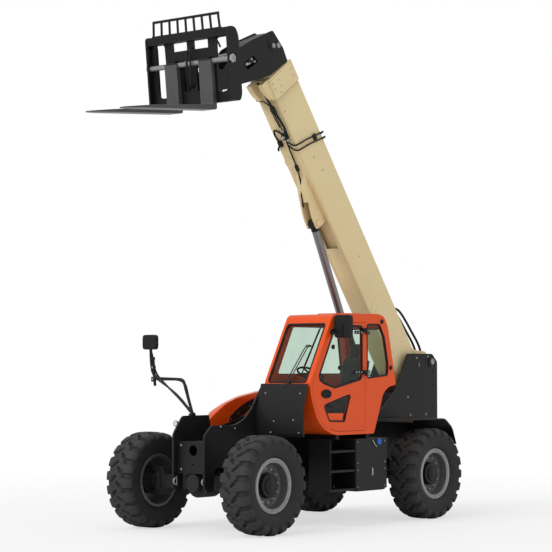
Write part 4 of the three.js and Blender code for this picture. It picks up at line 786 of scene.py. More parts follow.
pinParts += [rodIn(boomPlace, (x, 0, 0), (x + 0.012, 0, 0), 0.088, 40, 0.003)
             for x in (-0.314, 0.302)]
piece("boom_pivot_pin", pinParts, "black", "boom_base")
liftCheek = [(3.955, -0.728), (3.700, -0.850, 0.10), (3.420, -0.940, 0.08), (3.300, -0.966, 0.04),
             (3.140, -0.968, 0.03), (3.128, -0.900), (3.128, -0.728)]
mount = [plate(boomPlace, liftCheek, x, x + 0.026) for x in (-0.092, 0.066)]
mount.append(plate(boomPlace, [(3.955, -0.735), (3.700, -0.848, 0.1), (3.560, -0.890), (3.562, -0.878),
                               (3.700, -0.836, 0.1), (3.940, -0.733)], -0.090, 0.090))
mount += [rodIn(boomPlace, (x, *liftEyeAt), (x + 0.026, *liftEyeAt), 0.052, 32, 0.004)
          for x in (-0.116, 0.090)]
piece("lift_cylinder_mount", mount, "tan", "boom_base", bevel=0.003)

# Covers and screws on the base's sides.
sideParts, screwParts = [], []
for side in (-1, 1):
    x0, x1 = sorted((side * (boomSize["half"] - 0.002), side * (boomSize["half"] + 0.005)))
    sideParts.append(plate(boomPlace, [(0.10, -0.690, 0.10), (1.560, -0.690, 0.16), (1.560, -0.215, 0.16),
                                       (0.34, -0.215, 0.12), (0.10, -0.420, 0.12)], x0, x1))
    places = [(5.336, -0.213), (5.442, -0.547), (5.341, -0.547), (5.260, -0.597), (5.461, -0.700),
              (5.367, -0.700), (5.440, -0.213)]
    screwParts.append(bolts(put(boomPlace, side * 0.190, *np.array(places).T), [side, 0, 0], 0.010, 0.007))
    places = [(3.841, -0.438), (4.105, -0.503), (4.998, -0.690), (2.30, -0.438), (0.62, -0.330),
              (0.62, -0.600),
              (1.40, -0.330), (1.40, -0.600)]
    screwParts.append(bolts(put(boomPlace, side * (boomSize["half"] + 0.004), *np.array(places).T),
                            [side, 0, 0],
                            0.009, 0.006))
piece("boom_side_covers", sideParts, "tan", "boom_base", bevel=0.003)
piece("boom_screws", screwParts, "zinc", "boom_base")

# Hoses, pipes and the valve on the base.
bottom = boomSize["bottom"]
hoseParts = [tube(pathIn(boomPlace, route, 8), radius, 10) for radius, route in (
    (0.017, [(0.010, 5.555, bottom - 0.060), (0.032, 5.40, bottom - 0.055), (0.056, 5.22, bottom - 0.050),
             (0.088, 4.99, bottom - 0.040), (0.118, 4.78, bottom - 0.035), (0.100, 4.70, bottom - 0.040)]),
    (0.011, [(0.070, 4.60, bottom - 0.05), (0.040, 4.44, bottom - 0.03), (0.014, 4.06, bottom - 0.022),
             (-0.020, 3.80, bottom - 0.05), (-0.030, 3.66, bottom - 0.125), (-0.035, 3.50, bottom - 0.175)]),
    (0.009, [(-0.160, 5.26, bottom - 0.05), (-0.060, 5.24, bottom - 0.045), (0.010, 5.16, bottom - 0.03),
             (0.034, 5.07, bottom - 0.025), (0.040, 4.90, bottom - 0.022), (0.060, 4.74, bottom - 0.03)]),
    (0.008, [(0.020, 5.07, bottom - 0.025), (0.005, 4.92, bottom - 0.02), (0.035, 4.78, bottom - 0.03)]),
    (0.015, [(0.020, 4.68, bottom - 0.03), (-0.040, 4.76, bottom - 0.07), (-0.075, 4.70, bottom - 0.075),
             (-0.085, 4.56, bottom - 0.04), (-0.110, 4.49, bottom - 0.035), (-0.150, 4.44, bottom - 0.04),
             (-0.178, 4.40, bottom - 0.02)]))]
piece("boom_hoses", hoseParts, "hose", "boom_base")
pipeParts = []
for k in range(2):
    low = 4.52 - 0.085 * k
    route = [(0.060, low + 0.05, bottom - 0.045), (0.110, low - 0.02, bottom - 0.040),
             (0.168, low - 0.06, bottom - 0.022), (0.199, low - 0.075, bottom + 0.060),
             (0.201, low - 0.110, -0.500), (0.201, low - 0.165, -0.300), (0.200, low - 0.205, -0.130),
             (0.186, low - 0.215, -0.108)]
    pipeParts.append(tube(pathIn(boomPlace, route, 8), 0.0115, 12))
    pipeParts.append(rodIn(boomPlace, (0.201, low - 0.197, -0.190), (0.201, low - 0.208, -0.128),
                         0.018, 6))
piece("boom_pipes", pipeParts, "black", "boom_base")
valve = [block(boomPlace, (0.035, 0.105), (4.585, 4.700), (bottom - 0.075, bottom + 0.001), 0.008),
         block(boomPlace, (-0.110, -0.060), (4.470, 4.560), (bottom - 0.060, bottom + 0.001), 0.008),
         block(boomPlace, (-0.006, 0.034), (4.03, 4.13), (bottom - 0.040, bottom + 0.001), 0.006),
         block(boomPlace, (0.010, 0.070), (5.02, 5.12), (bottom - 0.045, bottom + 0.001), 0.006),
         block(boomPlace, (0.196, 0.216), (4.300, 4.395), (-0.360, -0.300), 0.004),
         block(boomPlace, (0.178, 0.198), (4.320, 4.375), (-0.350, -0.310), 0.004)]
piece("boom_valves", valve, "black", "boom_base", bevel=0.003)
fittings = [rodIn(boomPlace, (0.070, 4.640, bottom - 0.073), (0.070, 4.640, bottom - 0.098), 0.022, 24,
                  0.003)]
fittings += [rodIn(boomPlace, (x, a, bottom - 0.04), (x, a - 0.035, bottom - 0.04), 0.017, 6)
             for x, a in ((0.055, 4.585), (0.088, 4.585), (0.070, 4.735), (-0.085, 4.470))]
piece("boom_fittings", fittings, "zinc", "boom_base", sharp=30)
# Pressed ring and folded seams on the underside, and a lip along each side.
pressings = [lathe(put(boomPlace, -0.085, 4.167, bottom + 0.002), -np.array(boomUp),
                   [(0.084, 0), (0.094, 0), (0.092, 0.005), (0.086, 0.005)], 40, True)]
pressings += [tube(pathIn(boomPlace, route, 6), 0.006, 8) for route in (
    [(-0.092, 3.955, bottom + 0.001), (-0.100, 4.060, bottom + 0.001), (-0.060, 4.080, bottom + 0.001),
     (0.040, 4.070, bottom + 0.001)],
    [(-0.128, 3.980, bottom + 0.001), (-0.150, 3.700, bottom + 0.001), (-0.152, 3.300, bottom + 0.001),
     (-0.152, 2.900, bottom + 0.001)],
    [(0.128, 3.980, bottom + 0.001), (0.150, 3.700, bottom + 0.001), (0.152, 3.300, bottom + 0.001),
     (0.152, 2.900, bottom + 0.001)])]
piece("boom_pressings", pressings, "tan", "boom_base")
print("boom base made")

# Boom head: the inner tube, and a closed black gooseneck of two cheeks
innerStations = [0.300, 1.5, 3.0, 4.5, 5.300, 5.640]
piece("boom_inner_tube", [boomShell(0.150, -0.190, -0.660, innerStations, corner=(0.020, 0.030))],
      "tan", "boom_head", ("boom_head",), wall=0.012, flatten=False)
cheekShape = [(5.556, -0.192, 0.020), (5.757, -0.167, 0.060), (6.080, -0.225, 0.050), (6.199, -0.757, 0.120),
              (6.236, -1.042, 0.100), (6.150, -1.500, 0.080), (6.125, -1.680, 0.060), (6.010, -1.712, 0.090),
              (5.900, -1.650, 0.060), (5.780, -1.259, 0.120), (5.653, -0.909, 0.080), (5.571, -0.639, 0.060)]
hoseHole = [(5.870, -0.790, 0.03), (5.990, -0.820, 0.04), (6.010, -1.080, 0.05), (5.890, -1.060, 0.05)]
coverShape = [(5.700, -0.180), (5.770, -0.179, 0.06), (6.060, -0.233, 0.06), (6.186, -0.760, 0.1),
              (6.206, -0.930), (6.193, -0.932), (6.173, -0.765, 0.1), (6.048, -0.246, 0.05),
              (5.770, -0.192, 0.06), (5.700, -0.193)]
backShape = [(5.575, -0.662), (5.605, -0.662), (5.672, -0.905), (5.800, -1.255), (5.782, -1.262),
             (5.654, -0.909)]
headParts = [plate(boomPlace, cheekShape, x, x + 0.024, [hoseHole]) for x in (-0.174, 0.150)]
headParts += [plate(boomPlace, coverShape, -0.151, 0.151), plate(boomPlace, backShape, -0.151, 0.151)]
piece("boom_head_cheeks", headParts, "black", "boom_head", bevel=0.003)
sockets = [lathe(put(boomPlace, -0.155, *carriagePin), [1, 0, 0],
                 [(0.0455, 0), (0.086, 0), (0.086, 0.31), (0.0455, 0.31)], 48, True)]
for x, out in ((0.172, 1), (-0.172, -1)):
    sockets.append(lathe(put(boomPlace, x, *tiltPinAt), [out, 0, 0],
                         [(0, -0.01), (0.084, -0.01), (0.084, 0.008), (0.080, 0.012), (0, 0.012)], 40))
    sockets.append(block(boomPlace, tuple(sorted((x, x + out * 0.010))), (5.93, 6.02), (-0.43, -0.36), 0.012))
piece("boom_head_bosses", sockets, "black", "boom_head", sharp=30)
pins = [lathe(put(boomPlace, x, 5.842, -0.245), [out, 0, 0], stud(0.040, 0.010, 0.034, 0.016), 32)
        for x, out in ((0.173, 1), (-0.173, -1))]
pins += [lathe(put(boomPlace, x, *tiltPinAt), [out, 0, 0], stud(0.036, 0.022, 0.030, 0.028), 32)
         for x, out in ((0.170, 1), (-0.170, -1))]
piece("boom_head_pins", pins, "shaft", "boom_head", sharp=30)
headRoutes = [[(0.120, 5.80, -0.70), (0.150, 5.89, -0.80), (0.186, 5.930, -0.88), (0.170, 5.945, -0.96),
               (0.120, 6.00, -1.06)],
              [(0.110, 5.86, -0.72), (0.150, 5.95, -0.84), (0.180, 5.975, -0.92), (0.165, 5.960, -1.00),
               (0.120, 5.93, -1.10)],
              [(0.090, 5.84, -0.76), (0.120, 5.91, -0.90), (0.130, 5.925, -0.98), (0.110, 5.95, -1.08)]]
piece("boom_head_hoses", [tube(pathIn(boomPlace, route, 6), 0.013, 10) for route in headRoutes],
      "hose", "boom_head")
headFittings = [rodIn(boomPlace, start, end, 0.018, 6, 0.002)
                for start, end in (((0.176, 5.915, -0.850), (0.184, 5.932, -0.895)),
                                   ((0.168, 5.968, -0.880), (0.181, 5.975, -0.925)),
                                   ((0.172, 5.944, -0.955), (0.160, 5.955, -0.990)),
                                   ((0.166, 5.963, -0.990), (0.152, 5.955, -1.030)))]
piece("boom_head_fittings", headFittings, "zinc", "boom_head", sharp=30)
print("boom head made")

# Fork bar and its collars
shaftForward, shaftUp = 0.482, 0.250
barParts = [rodIn(carriagePlace, (-0.800, shaftForward, shaftUp), (0.800, shaftForward, shaftUp), 0.038,
                  40, 0.004)]
piece("fork_bar", barParts, "shaft", "carriage", ("fork_shaft",), sharp=30)
endParts = []
for x, out in ((0.7685, 1), (-0.7685, -1)):
    endParts.append(lathe(put(carriagePlace, x, shaftForward, shaftUp), [out, 0, 0],
                          stud(0.062, 0.018, 0.050, 0.026), 6))
piece("fork_bar_nuts", endParts, "zinc", "carriage", sharp=25)

# Finding the surface of a CAD node, so that screws and trims sit on it
surfaces = {}


def onSurface(node, starts, direction):
    if node not in surfaces:
        mesh = frame["nodes"][node].data
        surfaces[node] = BVHTree.FromPolygons([vert.co for vert in mesh.vertices],
                                              [list(face.vertices) for face in mesh.polygons])
    hits = [surfaces[node].ray_cast(Vector(np.array(start, float) + shift), Vector(direction))
            for start in starts]
    return np.array([np.array(hit[0]) - shift for hit in hits if hit[0] is not None]).reshape(-1, 3)


# Screws where rays along the inward direction meet the node.
def screwsOn(node, starts, direction, radius=0.010, height=0.008):
    places = onSurface(node, starts, direction)
    return [bolts(places, -np.array(direction, float), radius, height)] if len(places) else []


# An outline moved outward along its own normals.
def offset(outline, amount):
    line = rounded(outline)
    tangent = unit(np.roll(line, -1, 0) - np.roll(line, 1, 0))
    normal = np.stack([tangent[:, 1], -tangent[:, 0]], -1)
    nextPoint = np.roll(line, -1, 0)
    area = (line[:, 0] * nextPoint[:, 1] - nextPoint[:, 0] * line[:, 1]).sum()
    return line + normal * amount * (1 if area > 0 else -1)


def millimetres(outline):
    return [tuple(value / 1000 for value in point) for point in outline]


def band(place, outline, inside, outside, start, end):
    return plate(place, offset(outline, outside), start, end, [offset(outline, -inside)])


# Cab trims
slopeFront = placeAt([0, -1.000, 2.045], unit([0, -0.925, 0.500]), [1, 0, 0], unit([0, 0.500, 0.925]))
slopeRear = placeAt([0, 1.019, 2.010], unit([0, 0.850, 0.197]), [1, 0, 0], unit([0, -0.197, 0.850]))
doorGlass = millimetres([(197, 2850, 40), (-415, 2850, 60), (-785, 2160, 60), (-775, 2090, 40),
                         (-685, 2042, 60), (-436, 1980, 60), (160, 2095, 60), (197, 2150, 40)])
lowerGlass = millimetres([(-686, 1730, 40), (-60, 1885, 50), (-215, 1500, 40), (-560, 1512, 50)])
quarterGlass = millimetres([(320, 2880, 40), (620, 2880, 60), (735, 2700, 60), (823, 2320, 60),
                            (815, 2150, 50), (320, 2110, 40)])
rightGlass = millimetres([(-400, 2850, 50), (-760, 2160, 50), (760, 2160, 50), (660, 2850, 50)])
frontGlass = [(0.385, 0.0125, 0.05), (1.075, 0.0125, 0.05), (1.075, 0.947, 0.05), (0.385, 0.947, 0.05)]
rearGlass = [(0.410, 0.1026, 0.05), (1.070, 0.1026, 0.05), (1.070, 0.8417, 0.05), (0.410, 0.8417, 0.05)]
cabFace = 1.150
piece("door_window_seal", [band(sidePlace, doorGlass, 0.014, 0.016, cabFace - 0.020, cabFace + 0.004)],
      "seal", "door", bevel=0.002)
piece("door_lower_seal", [band(sidePlace, lowerGlass, 0.012, 0.012, cabFace - 0.020, cabFace + 0.003)],
      "seal", "door", bevel=0.002)
piece("cab_seals", [band(sidePlace, quarterGlass, 0.012, 0.012, cabFace - 0.020, cabFace + 0.003),
                    band(sidePlace, rightGlass, 0.012, 0.012, 0.327, 0.350),
                    band(slopeFront, frontGlass, 0.014, 0.010, -0.020, 0.003),
                    band(slopeRear, rearGlass, 0.014, 0.010, -0.020, 0.003)],
      "seal", "chassis", bevel=0.002)
wedge = millimetres([(-603, 1622, 20), (-233, 1615, 20), (-262, 1510, 20), (-545, 1520, 30),
                     (-590, 1560, 30)])
piece("door_pressings", [plate(sidePlace, wedge, cabFace - 0.012, cabFace - 0.004)],
      "orange", "door", bevel=0.003)
hinge = {"heights": (2.763, 2.194), "half": 0.024}
doorStraps, doorBolts, cabStraps, cabBolts = [], [], [], []
for height in hinge["heights"]:
    low, high = height - hinge["half"], height + hinge["half"]
    doorStraps.append(block(sidePlace, (cabFace - 0.001, cabFace + 0.012), (0.016, 0.205), (low, high),
                            0.012))
    cabStraps.append(block(sidePlace, (cabFace - 0.001, cabFace + 0.012), (0.292, 0.378), (low, high), 0.012))
    doorBolts += [(cabFace + 0.012, y, height) for y in (0.050, 0.110, 0.175)]
    cabBolts += [(cabFace + 0.012, y, height) for y in (0.318, 0.352)]
piece("door_hinge_straps", doorStraps, "black", "door", bevel=0.002)
piece("cab_hinge_straps", cabStraps, "black", "chassis", bevel=0.002)
piece("door_hinge_bolts", [bolts(doorBolts, [1, 0, 0], 0.010, 0.007)], "zinc", "door")
piece("cab_hinge_bolts", [bolts(cabBolts, [1, 0, 0], 0.010, 0.007)], "zinc", "chassis")
for node in ("cab_door", "cab_frame"):
    repaint(finished[node], "black", lambda x, y, z: x > cabFace + 0.0015)
turn = np.linspace(0, 2 * math.pi, 36, endpoint=False)
oval = np.stack([-0.635 + 0.115 * np.cos(turn), 1.892 + 0.063 * np.sin(turn)], -1)
innerOval = np.stack([-0.635 + 0.090 * np.cos(turn), 1.892 + 0.042 * np.sin(turn)], -1)
handle = [plate(sidePlace, oval, cabFace - 0.002, cabFace + 0.010, [innerOval]),
          plate(sidePlace, innerOval, cabFace - 0.002, cabFace + 0.002),
          block(sidePlace, (cabFace + 0.003, cabFace + 0.017), (-0.735, -0.560), (1.876, 1.908), 0.012),
          rod((cabFace, -0.575, 1.860), (cabFace + 0.012, -0.575, 1.860), 0.010, 20)]
piece("door_handle", handle, "plastic", "door", bevel=0.002)
knobs = [lathe((1.120, y, z), [1, 0, 0],
               [(0, 0), (0.030, 0), (0.034, 0.006), (0.034, 0.020), (0.026, 0.026), (0, 0.026)], 24)
         for y, z in ((-0.454, 2.550), (-0.303, 2.256))]
knobs.append(rod((1.121, -0.303, 2.256), (1.121, -0.120, 2.300), 0.009, 10))
piece("door_inside_knobs", knobs, "plastic", "door", sharp=30)
caps = [lathe((cabFace - 0.002, y, z), [1, 0, 0], stud(0.034, 0.010, 0.024, 0.020), 28)
        for y, z in ((0.886, 2.255), (0.675, 2.927))]
caps.append(lathe((0.402, -0.555, 2.835), unit([0, -0.925, 0.5]),
                  [(0, 0), (0.020, 0), (0.020, 0.02), (0, 0.02)], 20))
piece("cab_caps", caps, "plastic", "chassis", sharp=30)

# Wiper: two arms, a hinge and a blade, held off the windscreen.
lift = np.array(unit([0, -0.925, 0.5])) * 0.030
armPoints = np.array([(0.711, -1.027, 1.996), (0.748, -0.989, 2.065), (0.875, -0.744, 2.518),
                      (0.927, -0.726, 2.553)])
blade = np.array([(0.971, -0.933, 2.170), (1.034, -0.565, 2.850)])
wiperParts = [tube(spline(armPoints + lift + np.array([dx, 0, 0]), 6), 0.008, 10) for dx in (0, 0.045)]
wiperParts += [tube(np.linspace(blade[0], blade[1], 8) + lift * 0.75, 0.010, 8, flat=0.6),
               tube(np.linspace(blade[0] * 0.9 + blade[1] * 0.1, blade[0] * 0.1 + blade[1] * 0.9,
                                6) + lift * 1.25, 0.006, 8),
               rod(np.array([0.902, -0.735, 2.535]) + lift,
                   blade[0] * 0.45 + blade[1] * 0.55 + lift * 1.2, 0.008, 10),
               rod(np.array([0.711, -1.020, 1.990]), np.array([0.711, -1.020, 1.990]) + lift * 1.5,
                   0.026, 20, 0.004),
               rod(np.array([0.790, -0.998, 2.030]), np.array([0.790, -0.998, 2.030]) + lift * 1.4,
                   0.022, 20, 0.004)]
piece("wiper", wiperParts, "black", "chassis")
roofTop = onSurface("cab_roof", [(0.740, 0.200, 5.0)], (0, 0, -1))[0, 2]
piece("roof_hatch", [block(topPlace, (roofTop - 0.003, roofTop + 0.009), (0.470, 1.010), (0.050, 0.480),
                           0.05),
                     block(topPlace, (roofTop - 0.003, roofTop + 0.007), (0.520, 0.960),
                           (-0.040, 0.010), 0.02)],
      "orange", "chassis", bevel=0.004)
crease = [(cabFace, -0.700, 1.462), (cabFace, -0.620, 1.418), (cabFace, -0.500, 1.400),
          (cabFace, -0.200, 1.412),
          (cabFace, 0.060, 1.424), (cabFace, 0.250, 1.424)]
fold = [(cabFace, -0.035, 1.900), (cabFace, -0.110, 1.760), (cabFace, -0.200, 1.500),
        (cabFace, -0.225, 1.440)]
piece("door_creases", [tube(spline(crease, 6), 0.006, 8), tube(spline(fold, 6), 0.005, 8)],
      "orange", "door")
print("cab trims made")


# Seat: crowned closed cushions with sewn channels, a superellipsoid pinched in at each seam
cushionShape = {"rows": 41, "columns": 96, "corner": 0.28, "edge": 0.62, "seamWidth": 0.007,
                "seamDepth": 0.22, "crown": 0.12, "crownReach": 1.5}


def bulge(wave, power):
    return np.sign(wave) * np.abs(wave) ** power


def cushion(name, centre, tilt, half, channels, replaces=()):
    form = cushionShape
    u = np.linspace(-math.pi / 2, math.pi / 2, form["rows"])[:, None]
    v = np.linspace(0, 2 * math.pi, form["columns"], endpoint=False)[None]
    x = half[0] * bulge(np.cos(u), form["edge"]) * bulge(np.cos(v), form["corner"])
    y = half[1] * bulge(np.cos(u), form["edge"]) * bulge(np.sin(v), form["corner"])
    z = half[2] * bulge(np.sin(u), form["edge"]) + 0 * v
    seam = 0 * x
    if channels:
        seam = sum(np.exp(-((x - channel) / form["seamWidth"]) ** 2) for channel in channels)
    across = np.cos(x / half[0] * form["crownReach"])
    crown = form["crown"] * half[2] * across * np.cos(y / half[1] * form["crownReach"]) * (z > 0)
    z = z * (1 - form["seamDepth"] * np.minimum(seam, 1)) + crown
    c, s = math.cos(tilt), math.sin(tilt)
    points = np.stack([centre[0] + x, centre[1] + y * c - z * s, centre[2] + y * s + z * c], -1)
    made = piece(name, [(points.reshape(-1, 3), gridFaces(form["rows"], form["columns"], False, True))],
                 "cloth", "chassis",
                 replaces, sharp=80, flatten=False)


cushion("seat_cushion", (0.740, 0.262, 1.785), 0.06, (0.245, 0.236, 0.070), (-0.15, 0.15), ("seat",))
cushion("seat_back", (0.740, 0.525, 2.075), math.radians(79), (0.226, 0.325, 0.056), (-0.13, 0.13))
cushion("seat_head_rest", (0.740, 0.613, 2.490), math.radians(77), (0.126, 0.112, 0.036), ())
seatParts = [plate(sidePlace, [(0.095, 1.355), (0.385, 1.355), (0.370, 1.700), (0.110, 1.700)], 0.600, 0.880),
             rod((0.690, 0.572, 2.380), (0.690, 0.590, 2.430), 0.010, 12),
             rod((0.790, 0.572, 2.380), (0.790, 0.590, 2.430), 0.010, 12),
             plate(sidePlace, [(0.430, 1.700, 0.02), (0.530, 1.700, 0.03), (0.655, 2.360, 0.03),
                               (0.625, 2.360, 0.02), (0.500, 1.745, 0.03)], 0.540, 0.940)]
piece("seat_base", seatParts, "plastic", "chassis", bevel=0.006)
eased("steering_wheel", "plastic", 0.0)

# Mirrors
piece("mirror_left_glass", [block(frontPlace, (-0.4185, -0.4145), (1.186, 1.443), (2.694, 2.984), 0.03)],
      "mirror", "door", bevel=0.001)
piece("mirror_left_bracket", [rod((1.150, -0.520, 2.735), (1.150, -0.520, 2.790), 0.026, 20, 0.004),
                              rod((1.165, -0.500, 2.790), (1.205, -0.455, 2.860), 0.014, 14)],
      "black", "door")
post = [(-0.286, -1.828, 1.600), (-0.330, -1.834, 1.740), (-0.400, -1.846, 1.960), (-0.432, -1.850, 2.055),
        (-0.470, -1.853, 2.088), (-0.540, -1.860, 2.096), (-0.740, -1.883, 2.102), (-0.935, -1.905, 2.108)]
strut = [(-0.306, -1.812, 1.604), (-0.500, -1.840, 1.800), (-0.720, -1.872, 1.990),
         (-0.880, -1.900, 2.140), (-0.944, -1.914, 2.260)]
mirrorParts = [tube(spline(post, 6), 0.021, 14), tube(spline(strut, 6), 0.014, 12),
               rod((-0.935, -1.905, 2.000), (-0.958, -1.922, 2.400), 0.020, 18, 0.004),
               tube(spline([(-0.958, -1.922, 2.395), (-0.975, -1.930, 2.470), (-1.010, -1.940, 2.520),
                            (-1.030, -1.945, 2.560)], 6), 0.010, 10),
               block(frontPlace, (-1.935, -1.895), (-0.985, -0.920), (2.060, 2.130), 0.006),
               block(frontPlace, (-1.940, -1.900), (-0.990, -0.925), (2.230, 2.290), 0.006),
               block(frontPlace, (-1.950, -1.905), (-0.990, -0.935), (2.370, 2.410), 0.006),
               block(topPlace, (1.592, 1.618), (-0.330, -0.262), (-1.870, -1.785), 0.008)]
piece("mirror_right_arm", mirrorParts, "black", "chassis", ("mirror_right",), bevel=0.002)
piece("mirror_right_head", [block(frontPlace, (-1.973, -1.920), (-1.115, -0.865), (2.516, 2.722), 0.05)],
      "plastic", "chassis", bevel=0.014)
piece("mirror_right_glass", [block(frontPlace, (-1.9215, -1.917), (-1.100, -0.880), (2.530, 2.708), 0.04)],
      "mirror", "chassis", bevel=0.001)
piece("mirror_bolts", [bolts([(-0.952, -1.936, 2.095), (-0.957, -1.941, 2.260)], [0, -1, 0], 0.011, 0.009)],
      "zinc", "chassis")
print("seat and mirrors made")

# Hood: a dark leaf-shaped panel on its inner side as painted shade in the gap between the plates, screws,
# louvres outside and a grille behind
leaf = millimetres([(-1010, 1478, 30), (-985, 1560, 30), (-860, 1648, 60), (-689, 1738, 60), (-490, 1806, 60),
                    (-425, 1806, 20), (-461, 1733, 60), (-575, 1624, 80), (-745, 1530, 80), (-914, 1478, 40)])
leafRim = band(sidePlace, leaf, 0.004, 0.016, -0.3365, -0.331)
# The dark leaf panel is painted shade: it stands where the space between the plates lies in shade, with an
# orange band round it.
piece("hood_painted_shade", [plate(sidePlace, leaf, -0.3375, -0.3345)], "plastic", "hood",
      bevel=0.001)
piece("hood_painted_shade_rim", [leafRim], "orange", "hood", bevel=0.002)
hoodScrews = screwsOn("hood", [(0.0, y, z) for y,
                               z in ((-0.80, 1.60), (-0.55, 1.70), (-0.95, 1.52), (0.2, 1.55),
                                     (0.6, 1.55))], (-1, 0, 0), 0.009, 0.006)
hoodScrews += screwsOn("hood", [(-2.0, y, 1.45) for y in (-0.42, 0.0, 0.60)], (1, 0, 0), 0.010, 0.007)
piece("hood_screws", hoodScrews, "zinc", "hood")
outer = onSurface("hood", [(-2.0, y, 1.52) for y in (-0.3, 0.3)], (1, 0, 0))[:, 0].min()
louvres = [block(sidePlace, (outer - 0.004, outer + 0.010), (-0.40 + 0.095 * k, -0.34 + 0.095 * k),
                 (1.445, 1.575), 0.012)
           for k in range(11)]
piece("hood_louvres", louvres, "plastic", "hood", bevel=0.003)
rear = onSurface("hood", [(-0.8, 2.0, 1.6)], (0, -1, 0))[0, 1]
grille = [block(frontPlace, (rear - 0.004, rear + 0.008), (-1.02, -0.46),
                (1.47 + 0.055 * k, 1.50 + 0.055 * k), 0.006) for k in range(6)]
piece("hood_rear_grille", grille, "plastic", "hood", bevel=0.002)
catches = [block(sidePlace, (-1.162, -1.148), (y - 0.035, y + 0.035), (1.37, 1.45),
                 0.010) for y in (-0.38, 0.60)]
piece("hood_catches", catches, "seal", "hood", bevel=0.003)

# Engine pod: inspection panels and louvres on its side, screws round them
podSide = onSurface("engine_pod", [(-2.0, 0.0, 1.10)], (1, 0, 0))[0, 0]
panels = [block(sidePlace, (podSide - 0.006, podSide + 0.001), span, (0.78, 1.33),
                0.03) for span in ((-0.50, -0.06), (0.0, 0.40), (0.46, 0.90))]
piece("pod_panels", panels, "frame", "chassis", bevel=0.004)
podLouvres = [block(sidePlace, (podSide - 0.014, podSide), (0.51, 0.85),
                    (0.86 + 0.055 * k, 0.888 + 0.055 * k), 0.006) for k in range(7)]
piece("pod_louvres", podLouvres, "plastic", "chassis", bevel=0.003)
podScrews = bolts([(podSide - 0.006, y, z) for y in (-0.46, -0.10, 0.04, 0.36, 0.49,
                                                     0.87) for z in (0.82, 1.29)], [-1, 0, 0], 0.010, 0.007)
piece("pod_screws", [podScrews], "zinc", "chassis")

# Frame: pins, covers and screws on the tower, front plate and fascia
towerHalf = 0.300
towerParts, towerLight, towerBolts = [], [], []
for side in (-1, 1):
    face = side * towerHalf
    out = [side, 0, 0]
    towerLight.append(lathe((face + side * 0.0135, 3.144, 2.351), out, stud(0.046, 0.010, 0.038, 0.016), 32))
    for y, z, r in ((3.195, 2.203, 0.020), (3.193, 1.987, 0.022), (3.174, 1.624, 0.020)):
        towerParts.append(lathe((face - side * 0.001, y, z), out, stud(r, 0.004, r * 0.7, 0.006), 24))
    towerBolts += [(face, y, z) for y,
                   z in ((2.566, 1.522), (2.986, 1.525), (2.738, 2.408), (3.043, 2.429), (2.50, 1.80),
                         (3.20, 1.30))]
    low, high = sorted((face - side * 0.001, face + side * 0.004))
    towerParts.append(plate(sidePlace,
                            [(2.785, 2.262, 0.012), (2.811, 2.262, 0.012), (2.811, 2.340, 0.012),
                             (2.785, 2.340, 0.012)], low, high))
    towerLight.append(plate(sidePlace,
                            [(2.790, 2.270, 0.008), (2.806, 2.270, 0.008), (2.806, 2.332, 0.008),
                             (2.790, 2.332, 0.008)], low + side * 0.003, high + side * 0.003))
piece("tower_covers", towerParts, "seal", "chassis", sharp=30)
piece("tower_pins", towerLight, "shaft", "chassis", sharp=30)
frameBolts = [bolts([p for p in towerBolts if p[0] > 0], [1, 0, 0], 0.013, 0.009),
              bolts([p for p in towerBolts if p[0] < 0], [-1, 0, 0], 0.013, 0.009)]
# Node, the rays' axis and where they start on it, the places on the other two, radius and height.
frameScrews = [
    ("front_fascia", 1, -3.0, [(0.628, 1.515), (0.977, 1.535), (0.577, 1.359), (1.080, 1.361),
                               (0.42, 1.90), (1.05, 1.90)], 0.010, 0.007),
    ("access_steps", 0, 3.0, [(-0.545, 1.235), (-0.545, 0.939), (-0.545, 0.634), (-0.306, 1.220),
                              (0.02, 1.22), (0.02, 0.56)], 0.011, 0.008),
    ("main_frame", 0, 3.0, [(-0.923, 0.820), (-1.104, 0.520), (-1.9, 1.45), (-1.6, 1.42),
                            (1.4, 1.30), (1.2, 0.80)], 0.012, 0.009),
    ("main_frame", 0, -3.0, [(-1.9, 1.45), (1.4, 1.30), (1.7, 1.30), (2.2, 1.30)], 0.012, 0.009),
    ("main_frame", 1, -4.0, [(x, z) for x in (-0.22, 0.22) for z in (0.86, 1.19)], 0.013, 0.009),
    ("counterweight", 1, 5.0, [(x, z) for x in (-0.20, 0.20) for z in (0.64, 0.84)], 0.018, 0.012),
    ("side_tank", 0, 3.0, [(y, z) for z in (1.20, 0.90, 0.80, 0.56) for y in (0.09, 0.73)],
     0.009, 0.007),
]
for node, axis, start, spots, radius, height in frameScrews:
    direction = np.zeros(3)
    direction[axis] = -np.sign(start)
    starts = [np.insert(spot, axis, start) for spot in spots]
    frameBolts += screwsOn(node, starts, direction, radius, height)
piece("frame_bolts", frameBolts, "zinc", "chassis")

# Tank covers, cap, strap and latch, and lamps.
tankFace = onSurface("side_tank", [(3.0, 0.4, 1.10)], (-1, 0, 0))[0, 0]
piece("tank_covers", [block(sidePlace, (tankFace - 0.001, tankFace + 0.005), (0.052, 0.782),
                            (0.866, 1.225), 0.02),
                      block(sidePlace, (tankFace - 0.001, tankFace + 0.005), (0.052, 0.782),
                            (0.520, 0.848), 0.02)],
      "frame", "chassis", bevel=0.003)
piece("tank_cap", [lathe((tankFace + 0.004, 0.581, 1.190), [1, 0, 0], stud(0.046, 0.020, 0.038, 0.030), 36)],
      "blueCap", "chassis", sharp=30)
piece("tank_strap", [tube(spline([(tankFace + 0.010, 0.440, 1.215), (tankFace + 0.016, 0.470, 1.165),
                                  (tankFace + 0.010, 0.530, 1.120)], 6), 0.008, 10),
                     block(sidePlace, (tankFace + 0.004, tankFace + 0.016), (0.414, 0.438),
                           (0.712, 0.820), 0.006)],
      "zinc", "chassis", bevel=0.001)
lamps = []
lampRear = onSurface("main_frame", [(x, 5.0, 1.25) for x in (-0.286, 0.286)], (0, -1, 0))
